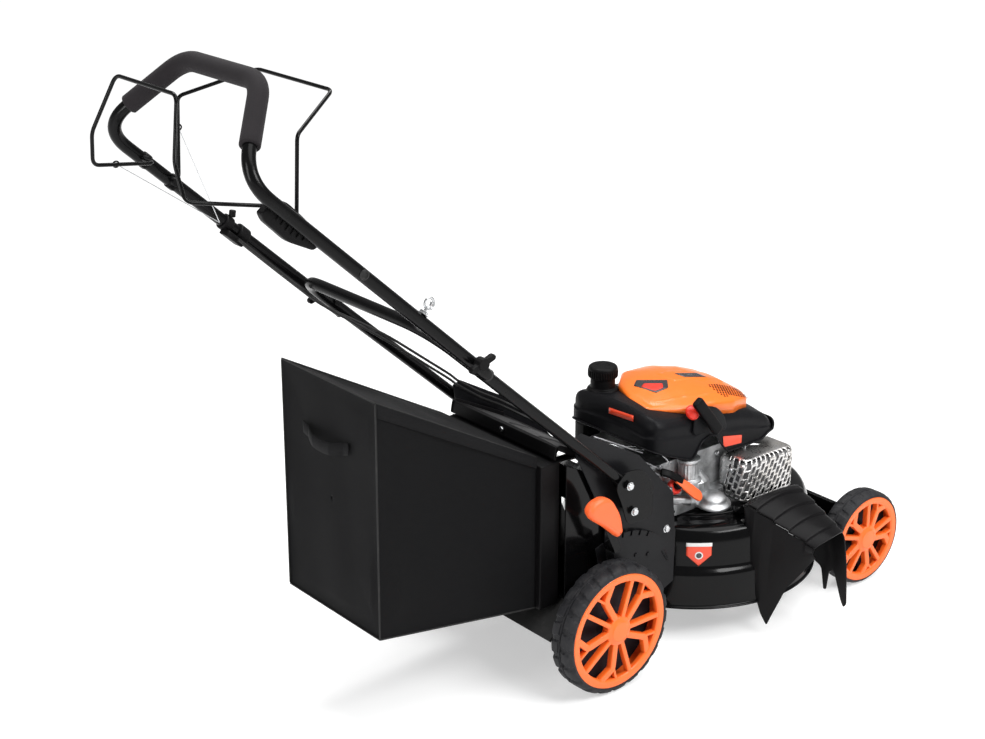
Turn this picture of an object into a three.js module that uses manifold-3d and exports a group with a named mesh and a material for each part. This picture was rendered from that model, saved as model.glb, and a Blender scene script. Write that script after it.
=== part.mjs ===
// Petrol walk-behind lawn mower with a folding handle, a rear grass bag and a side chute.
// Millimetres. +X forward, +Y to the mower's left, +Z up. Everything is laid out from the
// rear axle's line (x 0), the middle plane (y 0) and the ground (z 0), and the finished
// group is then moved so that its origin is the middle of its footprint on the ground.
import * as THREE from 'three';
import { mergeVertices } from 'three/addons/utils/BufferGeometryUtils.js';
import Module from 'manifold-3d';

// ---------------------------------------------------------------- driving dimensions
const REAR = { x: 0, radius: 127, rim: 113.5, inner: 197, outer: 253 };
const FRONT = { x: 700, radius: 100, rim: 91.5, inner: 205, outer: 257 };
const CRANK_X = 420;                       // engine crankshaft and blade, on the middle plane
const DECK = { top: 235, bottom: 70, skirt: 265, wall: 2.5 };
const BLADE = { length: 500, width: 52, z: 92, thick: 3 };
const SWING = { x: 62, z: 115 };           // drive shaft: the rear wheel arms swing about it
const ARM = { dx: -62, dz: 12 };           // from a swing axis to its wheel's axle
const LINK = { dx: -40, dz: 150, y: 181 }; // from a swing axis to the link rod's pin
const FRONT_SWING = { x: FRONT.x - ARM.dx, z: FRONT.radius - ARM.dz };
const PLATE_Y = 172;                       // inner face of the side plates
const ARM_Y = 186.5;                       // inner face of the wheel arms
const SHEET = 2.5;                         // steel plate thickness
const TUBE = { radius: 11, bore: 9.5, lower: 189, upper: 211.5 };
const PIVOT = { x: 57, z: 389 };           // lower handle's pivot bolts
const KNOB = { x: -311, z: 723 };          // wing knobs that hold the upper handle
const GRIP = { radius: 15, bore: 11.9 };
const BRAKE_PIVOT = { x: -672, z: 1041 };
const DRIVE_PIVOT = { x: -622, z: 1006 };
const WIRE = 3.2;                          // radius of the two bails
const DOOR_HINGE = { x: 52, z: 413 };
const CHUTE_HINGE = { y: -216, z: 258 };
const SHROUD = { half: 126, rear: 200, front: 548 };
const CAP = { x: 247, y: 72, z: 474 };     // fuel filler
const SLACK = 0.3;                         // gap between pieces that touch
const WHEEL_SIDES = 32;

const handleZ = x => 579 - 0.908 * (x + 160);   // height of the handle's straight legs

// ---------------------------------------------------------------- finishes
const finish = (color, roughness, metalness) =>
  new THREE.MeshStandardMaterial({ color, roughness, metalness });
const BLACK_STEEL = finish(0x131315, 0.25, 0.1);
const GREY_STEEL = finish(0x2d2e31, 0.5, 0.2);
const ZINC = finish(0xb9bbbd, 0.35, 0.9);
const ALUMINIUM = finish(0xaeb0b3, 0.4, 0.85);
const BLACK_PLASTIC = finish(0x1a1a1c, 0.55, 0);
const ORANGE = finish(0xf4672a, 0.4, 0);
const RUBBER = finish(0x2b2b2d, 0.85, 0);
const FOAM = finish(0x2a2a2c, 0.95, 0);
const FABRIC = finish(0x1c1c20, 0.95, 0);

// ---------------------------------------------------------------- solids
const wasm = await Module();
wasm.setup();

/** Turns a closed geometry into a solid that can be cut and joined. */
function solid(geometry) {
  const bare = geometry.clone();
  bare.deleteAttribute('normal');
  bare.deleteAttribute('uv');
  const merged = mergeVertices(bare, 1e-3);
  return new wasm.Manifold(new wasm.Mesh({
    numProp: 3,
    vertProperties: new Float32Array(merged.attributes.position.array),
    triVerts: new Uint32Array(merged.index.array),
  }));
}

const join = geometries => geometries.map(solid).reduce((whole, next) => whole.add(next));
const cut = (whole, geometries) => geometries.map(solid).reduce((rest, tool) => rest.subtract(tool), whole);

/** Turns a solid back into a geometry for a mesh. */
function toGeometry(part) {
  const mesh = part.getMesh();
  const geometry = new THREE.BufferGeometry();
  geometry.setAttribute('position', new THREE.BufferAttribute(mesh.vertProperties, mesh.numProp));
  geometry.setIndex(new THREE.BufferAttribute(mesh.triVerts, 1));
  const flat = geometry.toNonIndexed();
  flat.computeVertexNormals();
  return flat;
}

const object = new THREE.Group();

/** Adds a named sub-part, from a geometry or from a cut and joined solid. */
function part(name, shape, material) {
  const geometry = shape instanceof THREE.BufferGeometry ? shape : toGeometry(shape);
  const mesh = new THREE.Mesh(geometry, material);
  mesh.name = name;
  object.add(mesh);
}

// ---------------------------------------------------------------- shapes
const block = (x, y, z) => new THREE.BoxGeometry(x[1] - x[0], y[1] - y[0], z[1] - z[0])
  .translate((x[0] + x[1]) / 2, (y[0] + y[1]) / 2, (z[0] + z[1]) / 2);

/** A round bar between two points. */
function rod(from, to, radius, sides = 16) {
  const start = new THREE.Vector3(...from);
  const end = new THREE.Vector3(...to);
  const along = end.clone().sub(start);
  const turn = new THREE.Quaternion().setFromUnitVectors(
    new THREE.Vector3(0, 1, 0), along.clone().normalize());
  return new THREE.CylinderGeometry(radius, radius, along.length(), sides)
    .applyQuaternion(turn).translate(...start.add(end).multiplyScalar(0.5).toArray());
}

const crossRod = (x, z, y0, y1, radius, sides = 16) => rod([x, y0, z], [x, y1, z], radius, sides);

/** A turning profile of [radius, height] points, ordered so that the turned faces point out. */
function wound(profile) {
  const points = profile.map(([r, h]) => new THREE.Vector2(r, h));
  return THREE.ShapeUtils.area(points) < 0 ? points.reverse() : points;
}

/** A profile of [radius, height] points turned about a vertical line at x, y. */
const turned = (profile, sides, x, y) => new THREE.LatheGeometry(
  wound(profile), sides).rotateX(Math.PI / 2).translate(x, y, 0);

/** A profile of [radius, y] points turned about a cross line at x, z, with a facet underneath. */
const spun = (profile, sides, x, z) => new THREE.LatheGeometry(
  wound(profile), sides, Math.PI / sides).translate(x, 0, z);

const outline = points => new THREE.Shape(points.map(([a, b]) => new THREE.Vector2(a, b)));

/** A flat outline of [x, z] points with thickness from y0 to y1. */
const sidePlate = (points, y0, y1) => new THREE.ExtrudeGeometry(
  outline(points), { depth: y1 - y0, bevelEnabled: false }).rotateX(Math.PI / 2).translate(0, y1, 0);

/** A flat outline of [x, y] points with thickness from z0 to z1. */
const levelPlate = (points, z0, z1) => new THREE.ExtrudeGeometry(
  outline(points), { depth: z1 - z0, bevelEnabled: false }).translate(0, 0, z0);

/** A flat outline of [y, z] points with thickness from x0 to x1. */
const crossPlate = (points, x0, x1) => new THREE.ExtrudeGeometry(
  outline(points), { depth: x1 - x0, bevelEnabled: false })
  .applyMatrix4(new THREE.Matrix4().set(0, 0, 1, x0, 1, 0, 0, 0, 0, 1, 0, 0, 0, 0, 0, 1));

/** The same outline with every corner rounded, as a list of points. */
function rounded(points, radius, steps = 4) {
  const out = [];
  points.forEach((point, i) => {
    const here = new THREE.Vector2(...point);
    const back = new THREE.Vector2(...points[(i + points.length - 1) % points.length]).sub(here);
    const on = new THREE.Vector2(...points[(i + 1) % points.length]).sub(here);
    const trim = Math.min(radius, back.length() * 0.45, on.length() * 0.45);
    const curve = new THREE.QuadraticBezierCurve(
      here.clone().add(back.setLength(trim)), here, here.clone().add(on.setLength(trim)));
    curve.getPoints(steps).forEach(p => out.push([p.x, p.y]));
  });
  return out;
}

const rectangle = (a, b) => [[a[0], b[0]], [a[1], b[0]], [a[1], b[1]], [a[0], b[1]]];

/** A route through corner points [x, y, z, trim], with a smooth bend of that trim at each. */
class BentRoute extends THREE.Curve {
  constructor(corners, steps) {
    super();
    this.points = [];
    corners.forEach(([x, y, z, trim = 0], i) => {
      const here = new THREE.Vector3(x, y, z);
      if (!trim) return void this.points.push(here);
      const back = new THREE.Vector3(...corners[i - 1].slice(0, 3)).sub(here).setLength(trim);
      const on = new THREE.Vector3(...corners[i + 1].slice(0, 3)).sub(here).setLength(trim);
      this.points.push(...new THREE.QuadraticBezierCurve3(
        here.clone().add(back), here, here.clone().add(on)).getPoints(steps));
    });
  }
  getPoint(t) {
    const place = t * (this.points.length - 1);
    const i = Math.min(Math.floor(place), this.points.length - 2);
    return this.points[i].clone().lerp(this.points[i + 1], place - i);
  }
  getTangent(t) {
    const i = Math.round(t * (this.points.length - 1));
    const before = this.points[Math.max(i - 1, 0)];
    const after = this.points[Math.min(i + 1, this.points.length - 1)];
    return after.clone().sub(before).normalize();
  }
  getPointAt(u) { return this.getPoint(u); }
  getTangentAt(u) { return this.getTangent(u); }
}

/** A bent bar, or a bent tube when it has a bore, along a route of corner points. */
function bent(corners, radius, bore = 0, sides = 10, steps = 4) {
  const route = new BentRoute(corners, steps);
  const section = new THREE.Shape().absarc(0, 0, radius, 0, Math.PI * 2);
  if (bore) section.holes.push(new THREE.Path().absarc(0, 0, bore, 0, Math.PI * 2));
  return new THREE.ExtrudeGeometry(section, {
    steps: route.points.length - 1, curveSegments: sides / 2, extrudePath: route,
  });
}

/** A half route on the right side, followed by its mirror image on the left. */
const mirrored = half => [...half, ...half.map(([x, y, z, trim]) => [x, -y, z, trim]).reverse()];

const mirrorPoints = (side, y0, y1) => (side < 0 ? [-y1, -y0] : [y0, y1]);

// ---------------------------------------------------------------- cutting deck
function makeDeck() {
  const w = DECK.wall;
  const outer = [[22, DECK.top], [215, DECK.top], [236, DECK.top - 6], [248, DECK.top - 21],
    [252, 150], [262, 140], [DECK.skirt, 80], [DECK.skirt + 5, 74], [DECK.skirt + 5, DECK.bottom]];
  const inner = [[DECK.skirt - 2, DECK.bottom], [DECK.skirt - w, 80], [262 - w, 141.5],
    [252 - w, 151.5], [248 - w, DECK.top - 22], [236 - w, DECK.top - 8.5], [214, DECK.top - w],
    [22, DECK.top - w]];
  const profile = [...outer, ...inner, outer[0]];
  const shell = solid(turned(profile, 40, CRANK_X, 0));
  const rearMouth = block([110, 240], [-130, 130], [146, 222]);
  const sideMouth = block([388, 476], [-290, -215], [100, 213]);
  part('deck', cut(shell, [rearMouth, sideMouth]).add(frontBracket()).add(chuteLugs()), BLACK_STEEL);
}

/** Cheeks in front of the deck that carry the front axle's tube, on a web welded to the skirt. */
function frontBracket() {
  const cheek = [[690, 92], [742, 70], [784, 70], [790, 100], [760, 124], [722, 138], [690, 158]];
  const cheeks = [[-PLATE_Y - SHEET, -PLATE_Y], [PLATE_Y, PLATE_Y + SHEET]].map(
    ([y0, y1]) => sidePlate(cheek, y0, y1));
  const web = block([683, 691], [-PLATE_Y - SHEET, PLATE_Y + SHEET], [92, 158]);
  return cut(join([web, ...cheeks]), [crossRod(FRONT_SWING.x, FRONT_SWING.z, -190, 190, 9.6)]);
}

/** Two lugs on the deck's top with the side chute's hinge pin. */
function chuteLugs() {
  const lugs = [[362, 368], [496, 502]].map(lug => crossPlate(
    [[-224, 252], [-208, 266], [-190, 238.5], [-200, 238.5]], ...lug));
  const pin = rod([362, CHUTE_HINGE.y, CHUTE_HINGE.z], [502, CHUTE_HINGE.y, CHUTE_HINGE.z], 2.6, 12);
  return join([...lugs, pin, block([362, 502], [-200, -186], [DECK.top - 1, 241.5])]);
}

/** Duct that carries the clippings from the deck to the bag. */
function makeRearHousing() {
  const mouth = -60;
  const outer = [[250, 178], [mouth, 178], [mouth, 446], [35, 400], [158, 236], [250, 236]];
  const inner = [[260, 181], [mouth - 20, 181], [mouth - 20, 453], [33.5, 396.8], [157, 232.8],
    [260, 232.8]];
  const duct = solid(sidePlate(outer, -165, 165));
  const tunnel = cut(duct, [
    sidePlate(inner, -162, 162),
    rod([CRANK_X, 0, 100], [CRANK_X, 0, 300], 256, 40),
  ]);
  const lugs = [[-165, -158], [158, 165]].map(y => sidePlate([[20, 404], [72, 377], [62, 422],
    [44, 422]], ...y));
  const pin = crossRod(DOOR_HINGE.x, DOOR_HINGE.z, -165, 165, 3);
  part('rear_housing', tunnel.add(join([...lugs, pin])), BLACK_STEEL);
  part('rear_skirt', sidePlate([[-42, 172], [-46, 176.5], [-112, 116], [-108, 112]], -182, 182), RUBBER);
}

function makeSidePlates() {
  const shape = [[-52, 500], [-34, 506], [112, 424], [205, 322], [214, 237], [214, 132], [96, 84],
    [34, 84], [30, 300], [4, 366], [-46, 466]];
  for (const [name, side] of [['right', -1], ['left', 1]]) {
    const pieces = [sidePlate(shape, ...mirrorPoints(side, PLATE_Y, PLATE_Y + SHEET)),
      crossRod(SWING.x, SWING.z, ...mirrorPoints(side, PLATE_Y, ARM_Y - SLACK), 11, 20)];
    const plate = side < 0 ? join(pieces).add(heightQuadrant()) : join(pieces);
    part(`side_plate_${name}`, cut(plate, [
      crossRod(SWING.x, SWING.z, ...mirrorPoints(side, PLATE_Y - 5, ARM_Y + 5), 6.4)]), GREY_STEEL);
    makeHandleBracket(name, side);
  }
}

/** Outer plate of the handle's foot, with its pivot bolt and its lower bolt. */
function makeHandleBracket(name, side) {
  const shape = rounded([[26, 392], [52, 418], [92, 412], [122, 376], [122, 306], [58, 308], [44, 352]],
    14, 3);
  const [y0, y1] = mirrorPoints(side, 201.2, 203.7);
  const [b0, b1] = mirrorPoints(side, PLATE_Y + SHEET + SLACK, 208);
  const [h0, h1] = mirrorPoints(side, 203, 209);
  const bolts = [[PIVOT.x, PIVOT.z], [70, 334]].flatMap(([x, z]) => [
    crossRod(x, z, b0, b1, 4), crossRod(x, z, h0, h1, 7, 6)]);
  part(`handle_bracket_${name}`, join([sidePlate(shape, y0, y1), ...bolts]), BLACK_STEEL);
}

/** Low shield between the front bracket's cheeks, that slopes down over the front axle's tube. */
function makeFrontCover() {
  const top = [[691.2, 152], [700, 148], [745, 122], [775, 108], [792, 100], [803, 80]];
  const crown = sidePlate([...top, [800, 80], [789.5, 98], [774, 105], [743.5, 119], [699, 144.5],
    [691.2, 147.5]], -169, 169);
  const ribs = [-169, 166].map(y => sidePlate(
    [...top, [797, 80], [786, 92], [774, 101], [742, 112], [698, 136], [691.2, 138]], y, y + 3));
  part('front_cover', join([crown, ...ribs]), BLACK_PLASTIC);
}

// ---------------------------------------------------------------- wheels, axles, height setting
function makeWheel(place, size, side) {
  const z = size.radius;
  const round = size.radius / Math.cos(Math.PI / WHEEL_SIDES);
  const y = [size.inner, size.outer];
  const tyre = [[size.rim + SLACK, y[0]], [round - 6, y[0]], [round, y[0] + 6], [round, y[1] - 6],
    [round - 6, y[1]], [size.rim + SLACK, y[1]]];
  const facing = points => points.map(([r, across]) => [r, side * across]);
  const closed = points => [...points, points[0]];
  part(`tyre_${place}`, spun(facing(closed(tyre)), WHEEL_SIDES, size.x, z), RUBBER);

  const felloe = [[size.rim - 9, y[0] + 2], [size.rim, y[0] + 2], [size.rim, y[1] - 1],
    [size.rim - 9, y[1] - 1]];
  const hub = [[0, y[1] + 1], [6.4, y[1] + 1], [6.4, y[0] + 2], [26, y[0] + 2], [26, y[1] - 3],
    [21, y[1] + 3.5], [0, y[1] + 3.5]];
  const [s0, s1] = mirrorPoints(side, y[1] - 14, y[1] - 2);
  const reach = size.rim - 4;
  const straight = [[20, -6], [reach, -6], [reach, 6], [20, 6]];
  const kinked = [[20, 3], [reach * 0.5, 3], [reach * 0.66, 20], [reach * 0.97, 20], [reach * 0.97, 31],
    [reach * 0.6, 31], [reach * 0.44, 14], [20, 14]];
  const spokes = Array.from({ length: 5 }, (_, i) => i * Math.PI * 2 / 5).flatMap(turn => [
    sidePlate(straight, s0, s1).rotateY(turn).translate(size.x, 0, z),
    sidePlate(kinked, s0, s1).rotateY(turn + 0.55).translate(size.x, 0, z)]);
  const web = [[24, y[0] + 18], [size.rim - 6, y[0] + 18], [size.rim - 6, y[0] + 21], [24, y[0] + 21]];
  part(`rim_${place}`, join([spun(facing(closed(felloe)), WHEEL_SIDES, size.x, z),
    spun(facing(closed(web)), WHEEL_SIDES, size.x, z), spun(facing(hub), 12, size.x, z), ...spokes]),
      ORANGE);
}

/** Flat arm from a swing axis to its wheel, on the left with a horn for the link rod's pin. */
function wheelArm(swing, side, bore) {
  const [y0, y1] = mirrorPoints(side, ARM_Y, ARM_Y + SHEET);
  const wheel = { x: swing.x + ARM.dx, z: swing.z + ARM.dz };
  const bar = [[swing.x, swing.z - 15], [swing.x, swing.z + 15], [wheel.x, wheel.z + 13],
    [wheel.x, wheel.z - 13]];
  const pieces = [sidePlate(bar, y0, y1), crossRod(swing.x, swing.z, y0, y1, 15, 20),
    crossRod(wheel.x, wheel.z, y0, y1, 13, 20)];
  if (side > 0) {
    const tip = { x: swing.x + LINK.dx, z: swing.z + LINK.dz };
    pieces.push(sidePlate([[swing.x - 12, swing.z], [swing.x + 12, swing.z], [tip.x + 8, tip.z],
      [tip.x - 8, tip.z]], y0, y1),
      crossRod(tip.x, tip.z, y0, y1, 8), crossRod(tip.x, tip.z, LINK.y - 4, y1, 3));
  }
  return cut(join(pieces), bore ? [crossRod(swing.x, swing.z, y0 - 5, y1 + 5, bore)] : []);
}

function makeAxles() {
  const rearRod = solid(crossRod(REAR.x, REAR.radius, -REAR.outer, REAR.outer, 6));
  part('rear_axle', [-1, 1].reduce((whole, side) => whole.add(wheelArm(SWING, side, 8)), rearRod), ZINC);

  const frontTube = solid(crossRod(FRONT_SWING.x, FRONT_SWING.z, -ARM_Y - 1, ARM_Y + 1, 9));
  const stubs = [-1, 1].map(side => crossRod(
    FRONT.x, FRONT.radius, side * ARM_Y, side * FRONT.outer, 6));
  part('front_axle', [-1, 1].reduce(
    (whole, side) => whole.add(wheelArm(FRONT_SWING, side, 0)), frontTube.add(join(stubs))), ZINC);

  const rear = { x: SWING.x + LINK.dx, z: SWING.z + LINK.dz };
  const front = { x: FRONT_SWING.x + LINK.dx, z: FRONT_SWING.z + LINK.dz };
  const eyes = [rear, front].map(p => crossRod(p.x, p.z, LINK.y - 3.5, LINK.y + 3.5, 8));
  const bar = rod([rear.x, LINK.y, rear.z], [front.x, LINK.y, front.z], 3.2, 10);
  part('height_link', cut(join([...eyes, bar]), [rear, front].map(
    p => crossRod(p.x, p.z, LINK.y - 9, LINK.y + 9, 3.6))), ZINC);
}

/** Notched quadrant bolted to the right side plate, that the height lever catches in. */
function heightQuadrant() {
  const arc = Array.from({ length: 9 }, (_, i) => {
    const turn = THREE.MathUtils.degToRad(112 - i * 9);
    return [SWING.x + 166 * Math.cos(turn), SWING.z + 166 * Math.sin(turn)];
  });
  const quadrant = sidePlate([[150, 200], [118, 186], [20, 186], ...arc], -182.3, -179.8);
  const notches = Array.from({ length: 6 }, (_, i) => {
    const turn = THREE.MathUtils.degToRad(104 - i * 8);
    const at = r => [SWING.x + r * Math.cos(turn), -181, SWING.z + r * Math.sin(turn)];
    return rod(at(156), at(175), 3, 8);
  });
  const bolts = [[104, 224], [136, 216]].map(([x, z]) => crossRod(x, z, -184.5, -PLATE_Y, 5, 6));
  return cut(solid(quadrant), notches).add(join(bolts));
}

/** Spring-steel lever on the right wheel arm, and its hand grip. */
function makeHeightLever() {
  const inner = [-191.5, -189.3];
  const outer = [-216.5, -214.3];
  const foot = sidePlate([[50, 112], [74, 112], [32, 272], [16, 268]], ...inner);
  const boss = crossRod(SWING.x, SWING.z, ...inner, 13, 20);
  const jog = sidePlate([[16, 268], [32, 272], [28, 284], [12, 279]], outer[0], inner[1]);
  const head = sidePlate([[12, 279], [28, 284], [2, 340], [-14, 332]], ...outer);
  part('height_lever', cut(join([foot, boss, jog, head]), [crossRod(SWING.x, SWING.z, -200, -180, 8)]),
    ZINC);

  const grip = rounded([[10, 310], [-52, 372], [-62, 404], [-40, 408], [0, 384], [30, 330], [26, 314]],
    14, 3);
  part('lever_grip', cut(solid(sidePlate(grip, -231, -209)), [
    sidePlate([[11, 275], [29, 285], [2.6, 340.6], [-14.6, 332.6]], outer[0] - SLACK,
      outer[1] + SLACK)]), ORANGE);
}

// ---------------------------------------------------------------- blade drive and self-drive
function makeDrive() {
  const disc = (radius, z0, z1, sides = 24) => rod([CRANK_X, 0, z0], [CRANK_X, 0, z1], radius, sides);
  part('crankshaft', rod([CRANK_X, 0, 98], [CRANK_X, 0, 352], 12.5, 24), ZINC);
  part('blade_adapter', cut(join([disc(30, 150, 164, 28), disc(18, 104, 156), disc(26, 98, 108)]),
    [disc(12.5 + SLACK, 90, 170)]), GREY_STEEL);
  const half = BLADE.length / 2;
  const w = BLADE.width / 2;
  const bar = [[-half, -w], [half - 30, -w], [half, -w + 20], [half, w], [-half + 30, w], [-half, w - 20]];
  const lift = side => crossPlate([[side * w, BLADE.z + 3], [side * (w + 16), BLADE.z + 16],
    [side * (w + 13), BLADE.z + 18], [side * (w - 4), BLADE.z + 3]], side > 0 ? -half + 35 : half - 125,
  side > 0 ? -half + 125 : half - 35);
  const blank = join([levelPlate(bar, BLADE.z, BLADE.z + BLADE.thick), lift(1), lift(-1)]);
  part('blade', toGeometry(blank).translate(CRANK_X, 0, 0), GREY_STEEL);
  part('blade_bolt', rod([CRANK_X, 0, 80], [CRANK_X, 0, BLADE.z - SLACK], 15, 6), ZINC);
  part('flywheel', cut(solid(rod([CRANK_X, 0, 356], [CRANK_X, 0, 376], 84, 32)),
    [rod([CRANK_X, 0, 340], [CRANK_X, 0, 362], 20, 16)]).subtract(
    join([0, 60, 120, 180, 240, 300].map(turn => rod([60, 0, 366], [60, 0, 390], 12, 8)
      .rotateZ(THREE.MathUtils.degToRad(turn)).translate(CRANK_X, 0, 0)))), ALUMINIUM);

  const pulley = { x: 75, radius: 28 };
  part('gearbox_pulley', join([rod([pulley.x, 0, 150], [pulley.x, 0, 164], pulley.radius, 28),
    rod([pulley.x, 0, 146.5], [pulley.x, 0, 150], 6)]), ZINC);
  const loop = grow => {
    const arc = (x, r, from) => Array.from({ length: 13 }, (_, i) => {
      const turn = from + i * Math.PI / 12;
      return [x + (r + grow) * Math.cos(turn), (r + grow) * Math.sin(turn)];
    });
    return [...arc(CRANK_X, 30, -Math.PI / 2), ...arc(pulley.x, pulley.radius, Math.PI / 2)];
  };
  const belt = solid(levelPlate(loop(7), 152, 162));
  part('drive_belt', cut(belt, [levelPlate(loop(SLACK), 150, 164)]), RUBBER);

  const gearbox = join([crossRod(SWING.x, SWING.z, -36, 36, 30, 28),
    block([40, 104], [-24, 24], [92, 140])]);
  part('gearbox', cut(gearbox, [crossRod(SWING.x, SWING.z, -60, 60, 6.3)]), ALUMINIUM);
  const pinions = [-1, 1].flatMap(side => {
    const [y0, y1] = mirrorPoints(side, 199.5, 210);
    const teeth = Array.from({ length: 8 }, (_, i) => block([6.5, 10.5], [y0, y1], [-1.6, 1.6])
      .rotateY(i * Math.PI / 4).translate(SWING.x, 0, SWING.z));
    return [crossRod(SWING.x, SWING.z, y0, y1, 8.5), ...teeth];
  });
  part('drive_shaft', join([crossRod(SWING.x, SWING.z, -212, 212, 6), ...pinions]), ZINC);
}

// ---------------------------------------------------------------- engine
function makeEngine() {
  const sump = levelPlate(rounded([[238, -128], [398, -128], [400, -106], [449, -104], [449, 112],
    [238, 112]], 26), 238.5, 262);
  const casting = levelPlate(rounded(rectangle([216, 450], [-100, 92]), 24), 262, 343);
  const dome = turned([[0, 258], [40, 258], [36, 284], [20, 300], [0, 304]], 20, 342, -88);
  const filler = rod([268, -92, 280], [268, -112, 292], 13);
  const bracket = sidePlate([[216, 328], [224, 334], [208, 356], [128, 388], [92, 391], [92, 387],
    [126, 384], [204, 352]], -70, 40);
  part('crankcase', cut(join([sump, casting, dome, filler, bracket]), [
    rod([CRANK_X, 0, 200], [CRANK_X, 0, 360], 13)]), ALUMINIUM);

  const barrel = block([452, 538], [-38, 38], [266, 340]);
  const fins = [0, 1, 2, 3, 4, 5].map(i => block([456 + i * 14, 461 + i * 14], [-60, 60], [264, 343]));
  part('cylinder', join([barrel, ...fins]), ALUMINIUM);
  part('spark_plug', join([rod([538.4, 0, 302], [560, 0, 302], 8),
    rod([558, 0, 302], [580, 0, 302], 11)]), BLACK_PLASTIC);

  part('muffler', levelPlate(rounded(rectangle([412, 541], [-166, -112]), 14), 246, 318), ZINC);
  makeMufflerGuard();

  part('carburetor', join([block([300, 352], [93, 134], [286, 332]),
    crossRod(326, 300, 92.5, 134.5, 17)]), ALUMINIUM);
  part('air_filter_cover', levelPlate(rounded(rectangle([262, 392], [135, 176]), 16), 258, 345),
    BLACK_PLASTIC);

  const tank = levelPlate(rounded(rectangle([207, 322], [-116, 116]), 44), 394, 434);
  const neck = rod([CAP.x, CAP.y, 430], [CAP.x, CAP.y, CAP.z - 1], 22, 20);
  part('fuel_tank', join([tank, neck]), BLACK_PLASTIC);
  const cap = turned([[0, CAP.z], [25, CAP.z], [29.5, CAP.z + 5], [29.5, CAP.z + 18], [25, CAP.z + 23],
    [0, CAP.z + 24]], 24, CAP.x, CAP.y);
  part('fuel_cap', cap, BLACK_PLASTIC);

  const along = new THREE.Vector3(0, -0.857, 0.514);
  const seat = new THREE.Vector3(268, -112.4, 292.3);
  const at = distance => seat.clone().addScaledVector(along, distance).toArray();
  part('oil_cap', join([rod(at(0), at(10), 15, 12), rod(at(8), at(26), 9, 10)]), ORANGE);
  part('starter_grip', join([rod([322, -132, 462], [392, -153, 384], 10, 12),
    rod([347, -133, 433], [352, -141.5, 428], 5, 10)]), BLACK_PLASTIC);
}

function makeMufflerGuard() {
  const shell = solid(block([405, 548], [-175, -108], [240, 325]));
  const inside = block([407, 546], [-173, -100], [230, 323]);
  const lean = 9;
  const slots = [];
  for (let row = 0; row < 4; row += 1) {
    for (let column = 0; column < 7; column += 1) {
      const x = 414 + column * 18 + row * 2;
      const z = 250 + row * 18;
      slots.push(sidePlate([[x, z], [x + 8, z], [x + 8 + lean / 2, z + 12], [x + lean / 2, z + 12]],
        -180, -170));
    }
  }
  const ends = [0, 1, 2].map(i => crossPlate(
    [[-164 + i * 19, 252], [-154 + i * 19, 252], [-154 + i * 19, 312], [-164 + i * 19, 312]], 400, 410));
  part('muffler_guard', cut(shell, [inside, ...slots, ...ends]), ZINC);
}

/** Black fan housing around the flywheel and the tank, and the orange cover on top of it. */
function makeShroud() {
  const side = [[SHROUD.rear, 386], [SHROUD.rear, 452], [216, 462], [330, 442], [520, 398],
    [SHROUD.front, 372],
    [534, 346], [516, 338], [404, 338], [366, 376], [330, 376], [302, 345]];
  const inside = [[SHROUD.rear + 3, 330], [SHROUD.rear + 3, 450], [217, 458.5], [330, 438.5], [518, 394.5],
    [SHROUD.front - 5, 371], [SHROUD.front - 5, 330]];
  const plan = rounded(rectangle([SHROUD.rear, SHROUD.front], [-SHROUD.half, SHROUD.half]), 44);
  const planInside = rounded(rectangle([SHROUD.rear + 3, SHROUD.front - 3],
    [-SHROUD.half + 3, SHROUD.half - 3]), 42);
  const hull = solid(sidePlate(side, -SHROUD.half, SHROUD.half)).intersect(solid(levelPlate(plan, 320,
    480)));
  const room = solid(sidePlate(inside, -SHROUD.half, SHROUD.half)).intersect(solid(levelPlate(planInside,
    320, 480)));
  part('blower_housing', cut(hull.subtract(room), [
    rod([CAP.x, CAP.y, 400], [CAP.x, CAP.y, 500], 24, 20)]), BLACK_PLASTIC);

  const crown = [[250, 457], [290, 476], [380, 478], [450, 458], [500, 427], [528, 398.5],
    [520, 398.4 + SLACK * 3],
    [330, 442.9], [252, 457]];
  const spread = rounded([[232, -92], [292, -112], [430, -104], [520, -70], [530, 40], [430, 104],
    [300, 108], [286, 40], [232, 20]], 30);
  part('top_cover', solid(sidePlate(crown, -112, 112)).intersect(solid(levelPlate(spread, 380, 500))),
    ORANGE);
}

// ---------------------------------------------------------------- rear door, bag, side chute
function makeDoor() {
  const plate = [[DOOR_HINGE.x - 2, DOOR_HINGE.z + 4], [-76, 500], [-82, 498], [-85, 461], [-81.5, 461],
    [-78, 493], [DOOR_HINGE.x - 4, DOOR_HINGE.z - 1]];
  const door = join([sidePlate(plate, -150, 150), crossRod(DOOR_HINGE.x, DOOR_HINGE.z, -150, 150, 7)]);
  part('rear_door', cut(door, [crossRod(DOOR_HINGE.x, DOOR_HINGE.z, -170, 170, 3.4)]), BLACK_PLASTIC);
}

function makeBag() {
  const front = -108;
  const outer = [[front, 166], [-462, 224], [-460, 662], [front, 470]];
  const inner = [[front + 20, 166], [front, 169.5], [-458.5, 227.5], [-456.5, 656], [front, 466],
    [front + 20, 466]];
  part('bag_body', cut(solid(sidePlate(outer, -138, 138)), [sidePlate(inner, -134.5, 134.5)]), FABRIC);
  const collar = solid(crossPlate(rectangle([-150, 150], [165, 452]), -107.6, -63));
  const passage = crossPlate(rectangle([-132, 132], [184, 436]), -120, -50);
  const hooks = [[-146, -128], [128, 146]].map(y => sidePlate([[-66, 447], [-22, 447], [-22, 452],
    [-66, 452]], ...y));
  part('bag_frame', cut(collar, [passage]).add(join(hooks)), BLACK_PLASTIC);
}

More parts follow.
